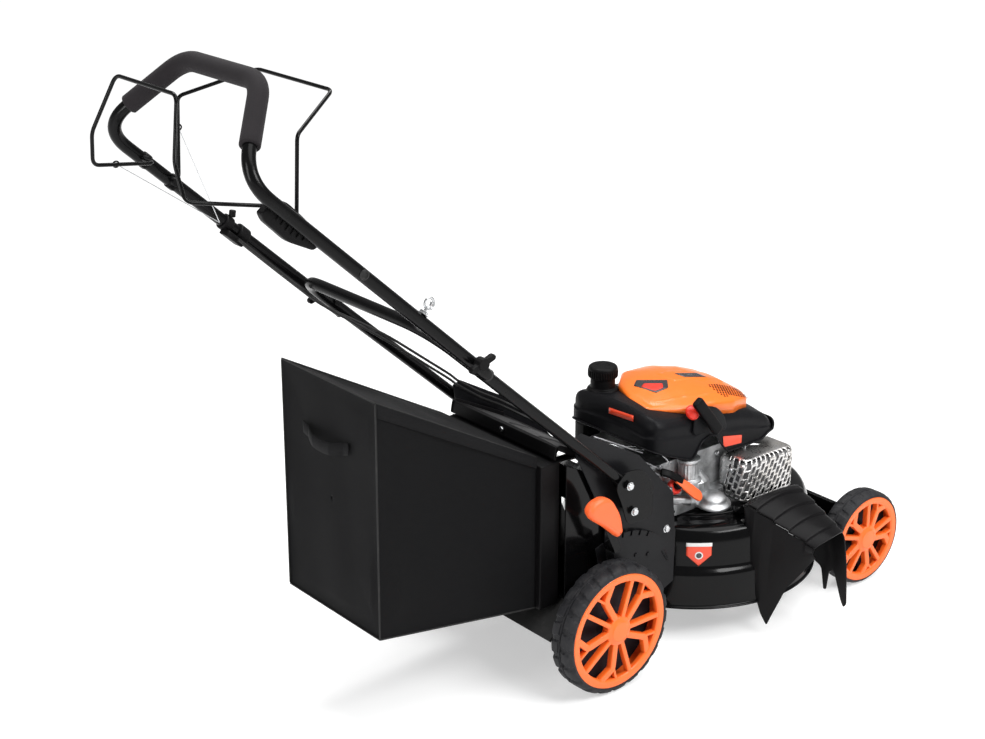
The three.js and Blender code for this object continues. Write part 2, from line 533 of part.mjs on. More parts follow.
function makeChute() {
  const x = [372, 492];
  const steps = [[-218, 263], [-250, 254], [-252, 248], [-284, 240], [-286, 234], [-318, 226], [-320, 220],
    [-358, 209]];
  const roof = [...steps, ...steps.map(([y, z]) => [y, z - 3.5]).reverse()];
  const wall = [[-240, 252], [-358, 209], [-362, 156], [-312, 132], [-284, 22], [-273, 30], [-270, 150],
    [-256, 216]];
  const wallFront = [[-240, 252], [-358, 209], [-370, 150], [-378, 60], [-368, 66], [-330, 130],
    [-290, 120],
    [-272, 150], [-256, 216]];
  const chute = join([crossPlate(roof, ...x), crossPlate(wall, x[0], x[0] + 3),
    crossPlate(wallFront, x[1] - 3, x[1]),
    rod([x[0], CHUTE_HINGE.y, CHUTE_HINGE.z], [x[1], CHUTE_HINGE.y, CHUTE_HINGE.z], 6, 14)]);
  part('side_chute', cut(chute, [
    rod([x[0] - 5, CHUTE_HINGE.y, CHUTE_HINGE.z], [x[1] + 5, CHUTE_HINGE.y, CHUTE_HINGE.z], 3)]),
      BLACK_PLASTIC);
}

// ---------------------------------------------------------------- handle
function makeHandle() {
  const lowerLeg = [[PIVOT.x, -TUBE.lower, PIVOT.z], [-385, -TUBE.lower, handleZ(-385), 75]];
  const eyes = [-1, 1].map(side => crossRod(PIVOT.x, PIVOT.z,
    side * (TUBE.lower - TUBE.radius), side * (TUBE.lower + TUBE.radius), 14, 16));
  const holes = [-1, 1].flatMap(side => [
    crossRod(PIVOT.x, PIVOT.z, side * 170, side * 215, 4.3),
    crossRod(KNOB.x, KNOB.z, side * 170, side * 215, 4.3)]);
  part('lower_handle', cut(solid(bent(mirrored(lowerLeg), TUBE.radius, TUBE.bore)).add(join(eyes)),
    holes), BLACK_STEEL);

  const upperLeg = [[-283, -TUBE.upper, handleZ(-283)], [-735, -TUBE.upper, 1101, 60],
    [-634, -108, 1214, 34]];
  const upperHoles = [-1, 1].map(side => crossRod(KNOB.x, KNOB.z, side * 195, side * 235, 4.3));
  part('upper_handle', cut(solid(bent(mirrored(upperLeg), TUBE.radius, TUBE.bore)), upperHoles),
    BLACK_STEEL);

  const end = new THREE.Vector3(-735, -TUBE.upper, 1101).lerp(new THREE.Vector3(-634, -108, 1214), 0.345);
  part('foam_grip', bent(mirrored([end.toArray(), upperLeg[2]]), GRIP.radius, GRIP.bore), FOAM);

  for (const [name, side] of [['right', -1], ['left', 1]]) {
    makeBailBracket(name, side);
    makeKnob(name, side);
  }
  makeCableClamp();
  makeRopeGuide();
}

/** Point on the handle leg's straight part, a distance out from its line and along it. */
const legPoint = (x, out, along = 0) => [x + out * 0.6723 - along * 0.7403,
  handleZ(x) + out * 0.7403 + along * 0.6723];

function makeBailBracket(name, side) {
  const shape = [legPoint(-637, 14, 52), legPoint(-637, 21, 25), legPoint(-637, 21, -20),
    legPoint(-637, 13, -56),
    legPoint(-637, -13, -50), legPoint(-637, -22, -20), legPoint(-637, -22, 15), legPoint(-637, -13, 50)];
  const [y0, y1] = mirrorPoints(side, 187, 224.5);
  const bore = rod([-500, side * TUBE.upper, handleZ(-500)], [-760, side * TUBE.upper, handleZ(-760)],
    TUBE.radius + SLACK, 20);
  const sockets = [BRAKE_PIVOT, DRIVE_PIVOT].map(p => crossRod(p.x, p.z, side * 180, side * 199.4,
    WIRE + SLACK));
  part(`bail_bracket_${name}`, cut(solid(sidePlate(shape, y0, y1)), [bore, ...sockets]), BLACK_PLASTIC);
}

function makeKnob(name, side) {
  const hub = crossRod(KNOB.x, KNOB.z, side * 223.2, side * 240, 11, 14);
  const stud = crossRod(KNOB.x, KNOB.z, side * 172, side * 224, 3.9, 12);
  const head = crossRod(KNOB.x, KNOB.z, side * 172, side * 177.6, 7, 6);
  const [y0, y1] = mirrorPoints(side, 228, 238);
  const wing = sidePlate(rounded([[-27, -5], [27, -5], [27, 5], [-27, 5]], 6, 2), y0, y1)
    .rotateY(THREE.MathUtils.degToRad(-20)).translate(KNOB.x, 0, KNOB.z);
  part(`wing_knob_${name}`, join([hub, stud, head, wing]), BLACK_PLASTIC);
}

/** Clamp on the left leg that ends both control cables. */
function makeCableClamp() {
  const shape = [legPoint(-515, 15, 22), legPoint(-515, 15, -24), legPoint(-515, -24, -18),
    legPoint(-515, -24, 16)];
  const bore = rod([-400, TUBE.upper, handleZ(-400)], [-600, TUBE.upper, handleZ(-600)],
    TUBE.radius + SLACK, 20);
  part('cable_clamp', cut(solid(sidePlate(shape, 194, 224.5)), [bore]), BLACK_PLASTIC);
}

function makeRopeGuide() {
  const base = legPoint(-424, TUBE.radius + SLACK);
  const eye = legPoint(-424, 32);
  const ring = new THREE.TorusGeometry(9, 2, 8, 16).rotateX(Math.PI / 2).translate(eye[0], -TUBE.upper,
    eye[1]);
  const stem = legPoint(-424, 24.5);
  part('rope_guide', join([ring, rod([base[0], -TUBE.upper, base[1]], [stem[0], -TUBE.upper, stem[1]], 3,
    8),
    rod([base[0], -TUBE.upper, base[1]], [...[legPoint(-424, 16)].flatMap(p => [p[0], -TUBE.upper,
      p[1]])], 8, 6)]), ZINC);
}

function makeBails() {
  const brake = [[BRAKE_PIVOT.x, -198.8, BRAKE_PIVOT.z], [BRAKE_PIVOT.x, -164, BRAKE_PIVOT.z, 8],
    [-792, -139, 1062, 14], [-797, -124, 1118, 10], [-767, -90, 1209, 14]];
  part('brake_bail', bent(mirrored(brake), WIRE, 0, 8, 3), BLACK_STEEL);
  const drive = [[DRIVE_PIVOT.x, -198.8, DRIVE_PIVOT.z], [DRIVE_PIVOT.x, -172, DRIVE_PIVOT.z, 8],
    [-615, -172, 1141, 10], [-504, -106, 1182, 14]];
  part('drive_bail', bent(mirrored(drive), WIRE, 0, 8, 3), BLACK_STEEL);
}

/** Control cables, from the clamp on the left leg, past the door's left edge, to the engine's bracket. */
function makeCables() {
  const clamp = legPoint(-500, -14);
  const low = legPoint(-352, -22);
  for (const [name, gap] of [['brake', 0], ['drive', 10]]) {
    part(`${name}_cable`, bent([[clamp[0], 190 - gap, clamp[1]], [-440, 184 - gap, handleZ(-440) - 22, 20],
      [low[0], 150 - gap, low[1], 30], [-250, 120, 664 - gap, 40], [-100, 120, 549 - gap, 20],
      [-55, 157, 516 - gap, 15], [0, 157, 477 - gap, 20], [62, 157, 442 - gap, 20],
      [112 - gap, 100, 404, 25], [112 - gap, -16, 396]], 2.5, 0, 6, 3), RUBBER);
  }
}

makeDeck();
makeRearHousing();
makeSidePlates();
makeFrontCover();
makeWheel('rear_right', REAR, -1);
makeWheel('rear_left', REAR, 1);
makeWheel('front_right', FRONT, -1);
makeWheel('front_left', FRONT, 1);
makeAxles();
makeHeightLever();
makeDrive();
makeEngine();
makeShroud();
makeDoor();
makeBag();
makeChute();
makeHandle();
makeBails();
makeCables();

const whole = new THREE.Box3().setFromObject(object);
const middle = whole.getCenter(new THREE.Vector3());
object.position.set(-middle.x, -middle.y, -whole.min.z);

export default object;
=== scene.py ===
"""Detailed pieces and finishes for a petrol lawn mower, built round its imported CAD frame.

Lengths in the shape functions are millimetres from the rear axle's line, the middle plane
and the ground; place() turns them into metres in the frame's own coordinates."""

import math

import bmesh
import bpy
import numpy as np
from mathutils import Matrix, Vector


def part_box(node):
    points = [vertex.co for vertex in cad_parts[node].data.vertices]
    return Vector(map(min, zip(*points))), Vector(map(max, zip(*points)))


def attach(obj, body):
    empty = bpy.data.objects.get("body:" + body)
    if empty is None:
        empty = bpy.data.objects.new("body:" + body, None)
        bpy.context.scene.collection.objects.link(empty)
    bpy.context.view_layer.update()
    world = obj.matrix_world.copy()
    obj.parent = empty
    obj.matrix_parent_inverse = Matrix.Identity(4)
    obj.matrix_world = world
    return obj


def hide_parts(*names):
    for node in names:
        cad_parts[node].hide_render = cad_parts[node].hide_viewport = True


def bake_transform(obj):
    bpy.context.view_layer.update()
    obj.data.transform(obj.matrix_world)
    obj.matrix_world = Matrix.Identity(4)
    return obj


bl_info = {
    "name": "Lawn Mower",
    "version": (1, 0, 0),
    "blender": (4, 5, 0),
    "location": "3D View > Sidebar > Mower",
    "description": "Builds the mower's detailed pieces, finishes and studio on its CAD frame",
    "category": "Add Mesh",
}

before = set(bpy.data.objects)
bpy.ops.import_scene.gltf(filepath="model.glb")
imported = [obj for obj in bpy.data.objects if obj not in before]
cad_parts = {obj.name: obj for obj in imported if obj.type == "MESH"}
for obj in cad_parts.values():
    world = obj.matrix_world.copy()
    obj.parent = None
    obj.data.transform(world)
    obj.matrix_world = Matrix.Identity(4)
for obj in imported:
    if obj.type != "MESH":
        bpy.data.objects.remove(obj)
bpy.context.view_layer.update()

MM = 0.001
TAU = 2 * math.pi
CRANK_X = 420.0
_low, _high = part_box("crankshaft")
ORIGIN = np.array([(_low.x + _high.x) / 2 - CRANK_X * MM, (_low.y + _high.y) / 2, 0.0])

REAR = {"x": 0.0, "radius": 127.0, "rim": 113.5, "inner": 197.0, "outer": 253.0}
FRONT = {"x": 700.0, "radius": 100.0, "rim": 91.5, "inner": 205.0, "outer": 257.0}
WHEELS = [("rear_right", REAR, -1), ("rear_left", REAR, 1),
          ("front_right", FRONT, -1), ("front_left", FRONT, 1)]
LOWER_Y, UPPER_Y = 189.0, 211.5
PIVOT = (57.0, 389.0)
KNOB = (-311.0, 723.0)
LEG_UP = (0.6723, 0.0, 0.7403)


def place(points):
    """Millimetres from the rear axle, middle plane and ground, as metres in the frame."""
    return np.asarray(points, float) * MM + ORIGIN


def leg_z(x):
    """Height of the handle's straight legs at x."""
    return 579 - 0.908 * (x + 160)


def leg_point(x, out, along=0.0):
    """Point off the handle leg's line: out is square to it, along is towards the grip."""
    return x + out * 0.6723 - along * 0.7403, leg_z(x) + out * 0.7403 + along * 0.6723


# ------------------------------------------------------------------ surfaces
class Shape:
    """Points in millimetres with the faces between them. Shapes add up to one shape."""

    def __init__(self, points, faces, uv=None):
        self.points, self.faces, self.uv = np.asarray(points, float).reshape(-1, 3), faces, uv

    def __add__(self, other):
        shift = len(self.points)
        uv = None if self.uv is None or other.uv is None else np.vstack([self.uv, other.uv])
        return Shape(np.vstack([self.points, other.points]),
                     self.faces + [f + shift for f in other.faces], uv)

    def mirrored(self):
        """The same shape across the middle plane, with its faces turned to match."""
        return Shape(self.points * (1, -1, 1), [f[:, ::-1] for f in self.faces], self.uv)

    def spun(self, angle, x, z):
        """The same shape turned about the cross line at x, z."""
        c, s = math.cos(angle), math.sin(angle)
        p = self.points - (x, 0, z)
        turned = np.stack([c * p[:, 0] + s * p[:, 2], p[:, 1], c * p[:, 2] - s * p[:, 0]], 1)
        return Shape(turned + (x, 0, z), self.faces, self.uv)


def both_sides(shape):
    return shape + shape.mirrored()


def grid(points, around=False, along=False, keep=None, uv=None):
    """Quads over a (rows, columns, 3) array of points. around joins the last column to the
    first, along joins the last row to the first, and keep is a mask of the faces left in."""
    rows, cols = points.shape[:2]
    i = np.arange(rows if along else rows - 1)[:, None]
    j = np.arange(cols if around else cols - 1)[None, :]
    ahead, beside = (i + 1) % rows, (j + 1) % cols
    quads = np.stack([i * cols + j, i * cols + beside, ahead * cols + beside, ahead * cols + j], -1)
    quads = quads[keep] if keep is not None else quads.reshape(-1, 4)
    return Shape(points, [quads], None if uv is None else uv.reshape(-1, 2))


def capped(points):
    """A grid closed round its columns, with a face over its first row and its last."""
    rows, cols = points.shape[:2]
    shape = grid(points, around=True)
    ends = [np.arange(cols)[None, ::-1], (rows - 1) * cols + np.arange(cols)[None]]
    return Shape(shape.points, shape.faces + ends)


def unit(v):
    return v / np.linalg.norm(v, axis=-1, keepdims=True)


def soften(points, radius, steps=5, closed=True):
    """The outline with each corner replaced by the quadratic curve between the two points
    that lie radius before and after it."""
    p = np.asarray(points, float)
    back, on = np.roll(p, 1, 0) - p, np.roll(p, -1, 0) - p
    lengths = np.linalg.norm(back, axis=1), np.linalg.norm(on, axis=1)
    trim = np.minimum(np.broadcast_to(radius, len(p)), 0.48 * np.minimum(*lengths))[:, None]
    a, b = p + unit(back) * trim, p + unit(on) * trim
    t = np.linspace(0, 1, steps + 1)[None, :, None]
    curve = (1 - t) ** 2 * a[:, None] + 2 * t * (1 - t) * p[:, None] + t ** 2 * b[:, None]
    if closed:
        return curve.reshape(-1, p.shape[1])
    return np.vstack([p[:1], curve[1:-1].reshape(-1, p.shape[1]), p[-1:]])


def route(corners, steps=8, spacing=14.0):
    """Points along straight runs through corners (x, y, z, trim), each bend being the
    quadratic curve between its trimmed points, and the straight runs split evenly."""
    c = np.asarray([tuple(k) + (0.0,) * (4 - len(k)) for k in corners], float)
    p, trim = c[:, :3], c[:, 3:]
    on = unit(np.diff(p, axis=0))
    t = np.linspace(0, 1, steps + 1)[:, None]
    points = [p[:1]]
    for i in range(1, len(p) - 1):
        a, b = p[i] - on[i - 1] * trim[i], p[i] + on[i] * trim[i]
        bend = (1 - t) ** 2 * a + 2 * t * (1 - t) * p[i] + t ** 2 * b
        points.append(bend if trim[i, 0] else p[i:i + 1])
    dense = np.vstack(points + [p[-1:]])
    gaps = np.linalg.norm(np.diff(dense, axis=0), axis=1)
    place_at = np.concatenate([[0], np.cumsum(gaps)])
    extra = [np.linspace(a, b, int((b - a) // spacing) + 2)[:-1]
             for a, b in zip(place_at[:-1], place_at[1:])]
    s = np.concatenate(extra + [place_at[-1:]])
    return np.stack([np.interp(s, place_at, dense[:, k]) for k in range(3)], 1)


def mirror_route(half):
    """Route corners on the right side, followed by their mirror image on the left."""
    return list(half) + [(k[0], -k[1]) + tuple(k[2:]) for k in reversed(half)]


def carried(path, section, up, ends=0.0):
    """A flat section of (across, over) pairs carried along a path: every point is the path's
    point plus across times the direction square to both the path and up, plus over times
    the direction square to those. ends rounds both rims by that much."""
    path, section = np.asarray(path, float), np.asarray(section, float)
    t = unit(np.gradient(path, axis=0))
    side = unit(np.cross(t, np.asarray(up, float)))
    over = np.cross(side, t)
    scale = np.ones(len(path))
    if ends:
        turn = np.linspace(0, math.pi / 2, 4)
        inset, step = ends * (1 - np.sin(turn)), ends * (1 - np.cos(turn))
        shrink = 1 - inset / np.abs(section).max()
        head = path[0] + t[0] * step[:, None]
        tail = (path[-1] - t[-1] * step[:, None])[::-1]
        path = np.vstack([head, path[1:-1], tail])
        widen = lambda v: np.vstack([np.repeat(v[:1], 4, 0), v[1:-1], np.repeat(v[-1:], 4, 0)])
        side, over = widen(side), widen(over)
        scale = np.concatenate([shrink, scale[1:-1], shrink[::-1]])
    flat = section[None] * scale[:, None, None]
    return capped(path[:, None] + flat[..., :1] * side[:, None] + flat[..., 1:] * over[:, None])


def circle(radius, sides=28):
    a = np.arange(sides) / sides * TAU
    return np.stack([np.cos(a), np.sin(a)], 1) * radius


def box_section(across, over, radius=2.0):
    """A rectangle's outline about its middle, with rounded corners."""
    a, b = across / 2, over / 2
    return soften([(-a, -b), (a, -b), (a, b), (-a, b)], radius, 3)


def tube(corners, radius, up=LEG_UP, sides=28, ends=1.0, steps=10):
    """A round bar along a route of corners."""
    return carried(route(corners, steps), circle(radius, sides), up, ends)


def spin(profile, centre, axis=(0, 1, 0), sides=64, closed=False, ribs=(0, 0.0, 0, 0)):
    """A profile of (radius, height) turned about an axis: each point is the centre plus
    height along the axis plus radius times the turning direction. ribs = (count, depth,
    low, high) adds depth times a cosine of the angle between those heights."""
    profile, n = np.asarray(profile, float), unit(np.asarray(axis, float))
    u = unit(np.cross(n, (0.31, 0.17, 0.93)))
    v = np.cross(n, u)
    a = np.arange(sides) / sides * TAU
    count, depth, low, high = ribs
    r, h = profile[:, None, 0], profile[:, None, 1]
    r = r + depth * np.cos(count * a)[None] * ((h >= low) & (h <= high))
    ring = np.cos(a)[:, None] * u + np.sin(a)[:, None] * v
    points = np.asarray(centre, float) + h[..., None] * n + r[..., None] * ring[None]
    return grid(points, around=True, along=closed)


def rod(a, b, radius, sides=24, ends=0.6):
    """A round bar from one point to another, with rounded rims."""
    a, b = np.asarray(a, float), np.asarray(b, float)
    up = (0.1, 0.2, 1.0) if abs(unit(b - a)[2]) < 0.8 else (1.0, 0.2, 0.1)
    return carried(np.linspace(a, b, 4), circle(radius, sides), up, ends)


def set_in(outline, by):
    """The outline moved inwards: each point shifts along the mean of its two edges' normals."""
    edge = np.roll(outline, -1, 0) - outline
    normal = unit(np.stack([-edge[:, 1], edge[:, 0]], 1))
    area = np.sum(outline[:, 0] * np.roll(outline[:, 1], -1) - outline[:, 1] * np.roll(outline[:, 0],
            -1))
    mean = unit(normal + np.roll(normal, 1, 0) + 1e-9)
    miter = np.clip(np.sum(mean * normal, 1), 0.5, 1)[:, None]
    return outline + mean / miter * by * np.sign(area)


PLANES = {"xz": lambda a, b, t: (a, t, b), "xy": lambda a, b, t: (a, b, t), "yz": lambda a, b,
          t: (t, a, b)}


def slab(outline, low, high, plane="xz", edge=0.8, steps=3):
    """A flat outline with thickness from low to high: rings of the outline, set in by a
    quarter circle at both rims, one above another, with a face over each end."""
    outline = np.asarray(outline, float)
    turn = np.linspace(0, math.pi / 2, steps + 1)
    inset, rise = edge * (1 - np.sin(turn)), edge * (1 - np.cos(turn))
    levels = [(i, low + r) for i, r in zip(inset, rise)] + [(i, high - r) for i,
            r in zip(inset, rise)][::-1]
    rings = []
    for by, t in levels:
        ring = set_in(outline, by) if by > 1e-9 else outline
        rings.append(np.stack(PLANES[plane](ring[:, 0], ring[:, 1], np.full(len(ring), t)), 1))
    return capped(np.stack(rings))


def bolt(centre, axis, radius=7.0, height=5.0):
    """A flanged hexagon head: a turned flange, and six flats with a domed top."""
    n = unit(np.asarray(axis, float))
    flange = spin([(0, 0), (radius * 1.25, 0), (radius * 1.25, 1.0), (radius, 1.6), (0, 1.8)], centre,
                  n, 32)
    a = np.repeat(np.arange(6), 4) / 6 * TAU + np.tile(np.linspace(0, TAU / 6, 5)[:-1], 6)
    flats = radius * 0.94 / np.cos((a + TAU / 12) % (TAU / 6) - TAU / 12)
    u = unit(np.cross(n, (0.31, 0.17, 0.93)))
    v = np.cross(n, u)
    ring = np.cos(a)[:, None] * u + np.sin(a)[:, None] * v
    levels = [(1.0, 1.2), (1.0, height - 1.0), (0.9, height - 0.2), (0.7, height)]
    rings = [np.asarray(centre) + n * h + ring * (np.minimum(flats, radius) * k)[:, None] for k,
             h in levels]
    return flange + capped(np.stack(rings))


def sewn_shell(corners, half, sag, wrinkle, seed=3):
    """A cloth box as one lofted shell. A ring of four sides runs back along x between the
    front corners (x, low z, high z) and the back ones, then shrinks onto the back's middle.
    Every point moves inwards by sag times the root of sin(pi p) sin(pi u), where p runs
    across its side and u runs back, plus wrinkles that fade out at the seams: a sum of ten
    waves of its place with fixed directions drawn from the seed."""
    (x0, low0, high0), (x1, low1, high1) = corners
    n, rows, cap = 64, 90, 44
    p = np.arange(n) / n
    flat = np.concatenate([np.stack([p * 2 - 1, 0 * p], 1), np.stack([0 * p + 1, p], 1),
                           np.stack([1 - p * 2, 0 * p + 1], 1), np.stack([0 * p - 1, 1 - p], 1)])
    inward = np.repeat([(0, 1), (-1, 0), (0, -1), (1, 0)], n, axis=0)
    across = np.tile(p, 4)
    u = np.linspace(0, 1, rows)[:, None]
    low, high = low0 + (low1 - low0) * u, high0 + (high1 - high0) * u
    points = np.stack([np.broadcast_to(x0 + (x1 - x0) * u, (rows, 4 * n)),
                       np.broadcast_to(half * flat[:, 0], (rows, 4 * n)),
                       low + (high - low) * flat[:, 1]], -1)
    draw = np.random.default_rng(seed)
    waves, phases = draw.normal(0, 0.021, (10, 3)), draw.uniform(0, TAU, 10)
    folds = lambda at: (np.sin(at @ waves.T + phases) / (1 + 40 * np.linalg.norm(waves,
            axis=1))).sum(-1)
    edge = np.minimum(np.minimum(across, 1 - across)[None], np.minimum(u, 1 - u))
    depth = sag * np.sqrt(np.sin(math.pi * across)[None] * np.sin(math.pi * u)) + wrinkle * folds(points) * np.clip(edge / 0.12, 0, 1)
    points[..., 1] += inward[:, 0] * depth
    points[..., 2] += inward[:, 1] * depth
    share = np.linspace(1, 0.01, cap)[:, None]
    middle = np.array([x1, 0, (low1 + high1) / 2])
    back = middle + (points[-1] - middle)[None] * share[..., None]
    back[..., 0] += 0.8 * sag * (1 - share ** 2) ** 0.6 + wrinkle * folds(back) * np.clip((1 - share) / 0.15, 0, 1)
    run = np.linspace(0, 1, 4 * n) * (4 * half + high1 + high0 - low1 - low0)
    side_uv = np.stack(np.broadcast_arrays(run[None], u * abs(x1 - x0)), -1) * MM
    return grid(points, around=True, uv=side_uv), grid(back, around=True, uv=back[..., 1:] * MM)


def build(name, shape, finish, body, replaces=(), crease=38, thickness=0.0, outward=1,
          weld=True, rounding=0.0, levels=0):
    """Puts a shape into a mesh on the frame. Closed shapes are welded and turned outwards.
    thickness makes a wall of an open surface, and rounding bevels its edges."""
    mesh = bpy.data.meshes.new(name)
    mesh.from_pydata(place(shape.points).tolist(), [], [q for f in shape.faces for q in f.tolist()])
    if shape.uv is not None:
        corners = np.zeros(len(mesh.loops), np.int32)
        mesh.loops.foreach_get("vertex_index", corners)
        mesh.uv_layers.new(name="Cloth").data.foreach_set("uv",
                shape.uv[corners].astype(np.float32).ravel())
    if weld:
        work = bmesh.new()
        work.from_mesh(mesh)
        bmesh.ops.remove_doubles(work, verts=work.verts, dist=0.02 * MM)
        bmesh.ops.recalc_face_normals(work, faces=work.faces)
        # a wall is added outwards, so a surface that faces its own middle is turned round
        middle = sum((face.calc_center_median() for face in work.faces), Vector()) / len(work.faces)
        outwards = sum(face.normal.dot(face.calc_center_median() - middle) * face.calc_area() for face in work.faces)
        if thickness and outwards < 0:
            bmesh.ops.reverse_faces(work, faces=work.faces)
        work.to_mesh(mesh)
        work.free()
    mesh.polygons.foreach_set("use_smooth", np.ones(len(mesh.polygons), bool))
    mesh.set_sharp_from_angle(angle=math.radians(crease))
    mesh.materials.append(finish)
    piece = bpy.data.objects.new(name, mesh)
    bpy.context.scene.collection.objects.link(piece)
    if thickness:
        wall = piece.modifiers.new("Wall", "SOLIDIFY")
        wall.thickness, wall.offset, wall.use_rim = thickness * MM, -outward, True
    if rounding:
        soft = piece.modifiers.new("Rim", "BEVEL")
        soft.width, soft.segments, soft.limit_method = rounding * MM, 2, "ANGLE"
    if levels:
        fine = piece.modifiers.new("Fine", "SUBSURF")
        fine.levels = fine.render_levels = levels
    if body:
        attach(piece, body)
    if replaces:
        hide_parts(*replaces)
    return piece


# ------------------------------------------------------------------ finishes
class Value:
    """A node's output socket, on which the usual operators add Math nodes."""

    def __init__(self, tree, socket):
        self.tree, self.socket = tree, socket

    def math(self, operation, *others):
        return self.tree.node("Math", {"operation": operation}, dict(enumerate((self,) + others)))

    def __add__(self, other):
        return self.math("ADD", other)

    def __sub__(self, other):
        return self.math("SUBTRACT", other)

    def __mul__(self, other):
        return self.math("MULTIPLY", other)

    def __rsub__(self, other):
        return self.tree.node("Math", {"operation": "SUBTRACT"}, {0: other, 1: self})

    __radd__, __rmul__ = __add__, __mul__


class Tree:
    """A material's node tree, filled through one method."""

    def __init__(self, name):
        self.material = bpy.data.materials.new(name)
        self.material.use_nodes = True
        self.nodes = self.material.node_tree.nodes
        self.nodes.clear()

    def node(self, kind, settings=None, inputs=None, output=0):
        """Adds a node of that type, sets its settings, then its sockets, and gives an output."""
        made = self.nodes.new("ShaderNode" + kind)
        for key, value in (settings or {}).items():
            if key == "stops":
                ramp = made.color_ramp.elements
                for k, (at, shade) in enumerate(value):
                    stop = ramp[k] if k < 2 else ramp.new(at)
                    stop.position, stop.color = at, (shade, shade, shade, 1)
            else:
                setattr(made, key, value)
        for key, value in (inputs or {}).items():
            socket = made.inputs[key]
            if isinstance(value, Value):
                self.material.node_tree.links.new(value.socket, socket)
            elif isinstance(value, (tuple, list)) and len(value) == 3 and socket.type == "RGBA":
                socket.default_value = (*value, 1)
            else:
                socket.default_value = value
        return Value(self, made.outputs[output])

    def coordinates(self, kind="Object", scale=(1, 1, 1)):
        at = self.node("TexCoord", output=kind)
        return self.node("Mapping", inputs={"Vector": at, "Scale": scale})

    def noise(self, scale, detail=2.0, at=None, rough=0.5):
        at = at or self.coordinates()
        return self.node("TexNoise", inputs={"Vector": at, "Scale": scale, "Detail": detail,
                                             "Roughness": rough})

    def cells(self, scale, at=None, feature="F1"):
        at = at or self.coordinates()
        return self.node("TexVoronoi", {"feature": feature}, {"Vector": at, "Scale": scale}, "Distance")

    def mix(self, factor, a, b):
        return self.node("Mix", {"data_type": "RGBA"}, {"Factor": factor, 6: a, 7: b}, 2)

    def bump(self, height, depth, strength=1.0):
        return self.node("Bump", inputs={"Height": height, "Distance": depth * MM,
                                         "Strength": strength}, output="Normal")

    def shader(self, constants, varying):
        """The surface: constants sit on the shader's own sockets, varying ones are linked."""
        surface = self.node("BsdfPrincipled", inputs={**constants, **varying})
        out = self.nodes.new("ShaderNodeOutputMaterial")
        self.material.node_tree.links.new(surface.socket, out.inputs["Surface"])
        return self.material


def scaled(colour, by):
    return tuple(min(1.0, c * by) for c in colour)


def moulded(name, colour, roughness=0.5, grain=(1500, 0.12), uneven=0.12, coat=0.0, dust=0.0):
    """Moulded plastic: a fine spark-eroded grain, faint flow marks and handling marks."""
    t = Tree(name)
    flow, marks = t.noise(9, 3), t.noise(60, 4, rough=0.65)
    tone = t.mix(flow, scaled(colour, 1 - uneven), scaled(colour, 1 + uneven))
    if dust:
        settled = t.node("ValToRGB", {"stops": [(0.5, 0.0), (0.75, dust)]},
                         {0: t.noise(22, 5, rough=0.7)})
        tone = t.mix(settled, tone, (0.16, 0.15, 0.14))
    rough = (marks - 0.5) * 0.22 + roughness
    relief = t.cells(grain[0]) * 0.6 + t.noise(grain[0] * 0.7, 2) * 0.4
    return t.shader({"Coat Weight": coat, "Coat Roughness": 0.12, "IOR": 1.45,
                     "Specular IOR Level": 0.5 if max(colour) > 0.1 else 0.12},
                    {"Base Color": tone, "Roughness": rough, "Normal": t.bump(relief, grain[1])})


def painted(name, colour, roughness=0.16, coat=0.5, peel=0.05, wear=0.0):
    """Powder paint on steel: orange peel, cloudy gloss and a few dusty smudges."""
    t = Tree(name)
    cloud, fine = t.noise(14, 4, rough=0.6), t.noise(180, 3)
    tone = t.mix(cloud, scaled(colour, 0.75), scaled(colour, 1.3))
    smudge = t.node("ValToRGB", {"stops": [(0.52, 0.0), (0.8, 1.0)]}, {0: t.noise(6, 6, rough=0.7)})
    tone = t.mix(smudge * (0.006 + wear), tone, (0.2, 0.19, 0.18))
    rough = (fine - 0.5) * 0.1 + smudge * 0.16 + roughness
    return t.shader({"Coat Weight": coat * 0.15, "Coat Roughness": 0.06, "IOR": 1.5,
                     "Specular IOR Level": 0.1},
                    {"Base Color": tone, "Roughness": rough,
                     "Normal": t.bump(t.noise(420, 2) * 0.5 + t.noise(90, 2) * 0.5, peel)})


def plated(name, colour=(0.62, 0.63, 0.64), roughness=0.3, stretch=(1, 1, 1), tint=None):
    """Bright zinc or steel: long scratches, cloudy passivation and small dents."""
    t = Tree(name)
    streak = t.noise(260, 3, t.coordinates(scale=stretch), 0.6)
    cloud = t.noise(35, 4, rough=0.6)
    tone = t.mix(cloud, scaled(colour, 0.72), scaled(colour, 1.12))
    if tint:
        heat = t.node("ValToRGB", {"stops": [(0.45, 0.0), (0.7, 0.5)]}, {0: t.noise(16, 3)})
        tone = t.mix(heat, tone, tint)
    rough = (streak - 0.5) * 0.25 + (cloud - 0.5) * 0.15 + roughness
    return t.shader({"IOR": 1.5, "Metallic": 1.0},
                    {"Base Color": tone, "Roughness": rough,
                     "Normal": t.bump(streak * 0.5 + cloud * 0.5, 0.08)})


def cast(name, colour=(0.58, 0.59, 0.6), roughness=0.42):
    """Die-cast aluminium: sand-like grain, darker hollows and flow lines."""
    t = Tree(name)
    grain, flow = t.cells(700), t.noise(28, 5, rough=0.65)
    dark = t.node("ValToRGB", {"stops": [(0.35, 0.0), (0.7, 1.0)]}, {0: flow})
    tone = t.mix(dark, scaled(colour, 0.5), scaled(colour, 1.15))
    return t.shader({"IOR": 1.5, "Metallic": 0.92},
                    {"Base Color": tone, "Roughness": (flow - 0.5) * 0.3 + roughness,
                     "Normal": t.bump(grain * 0.5 + flow * 0.8, 0.35)})


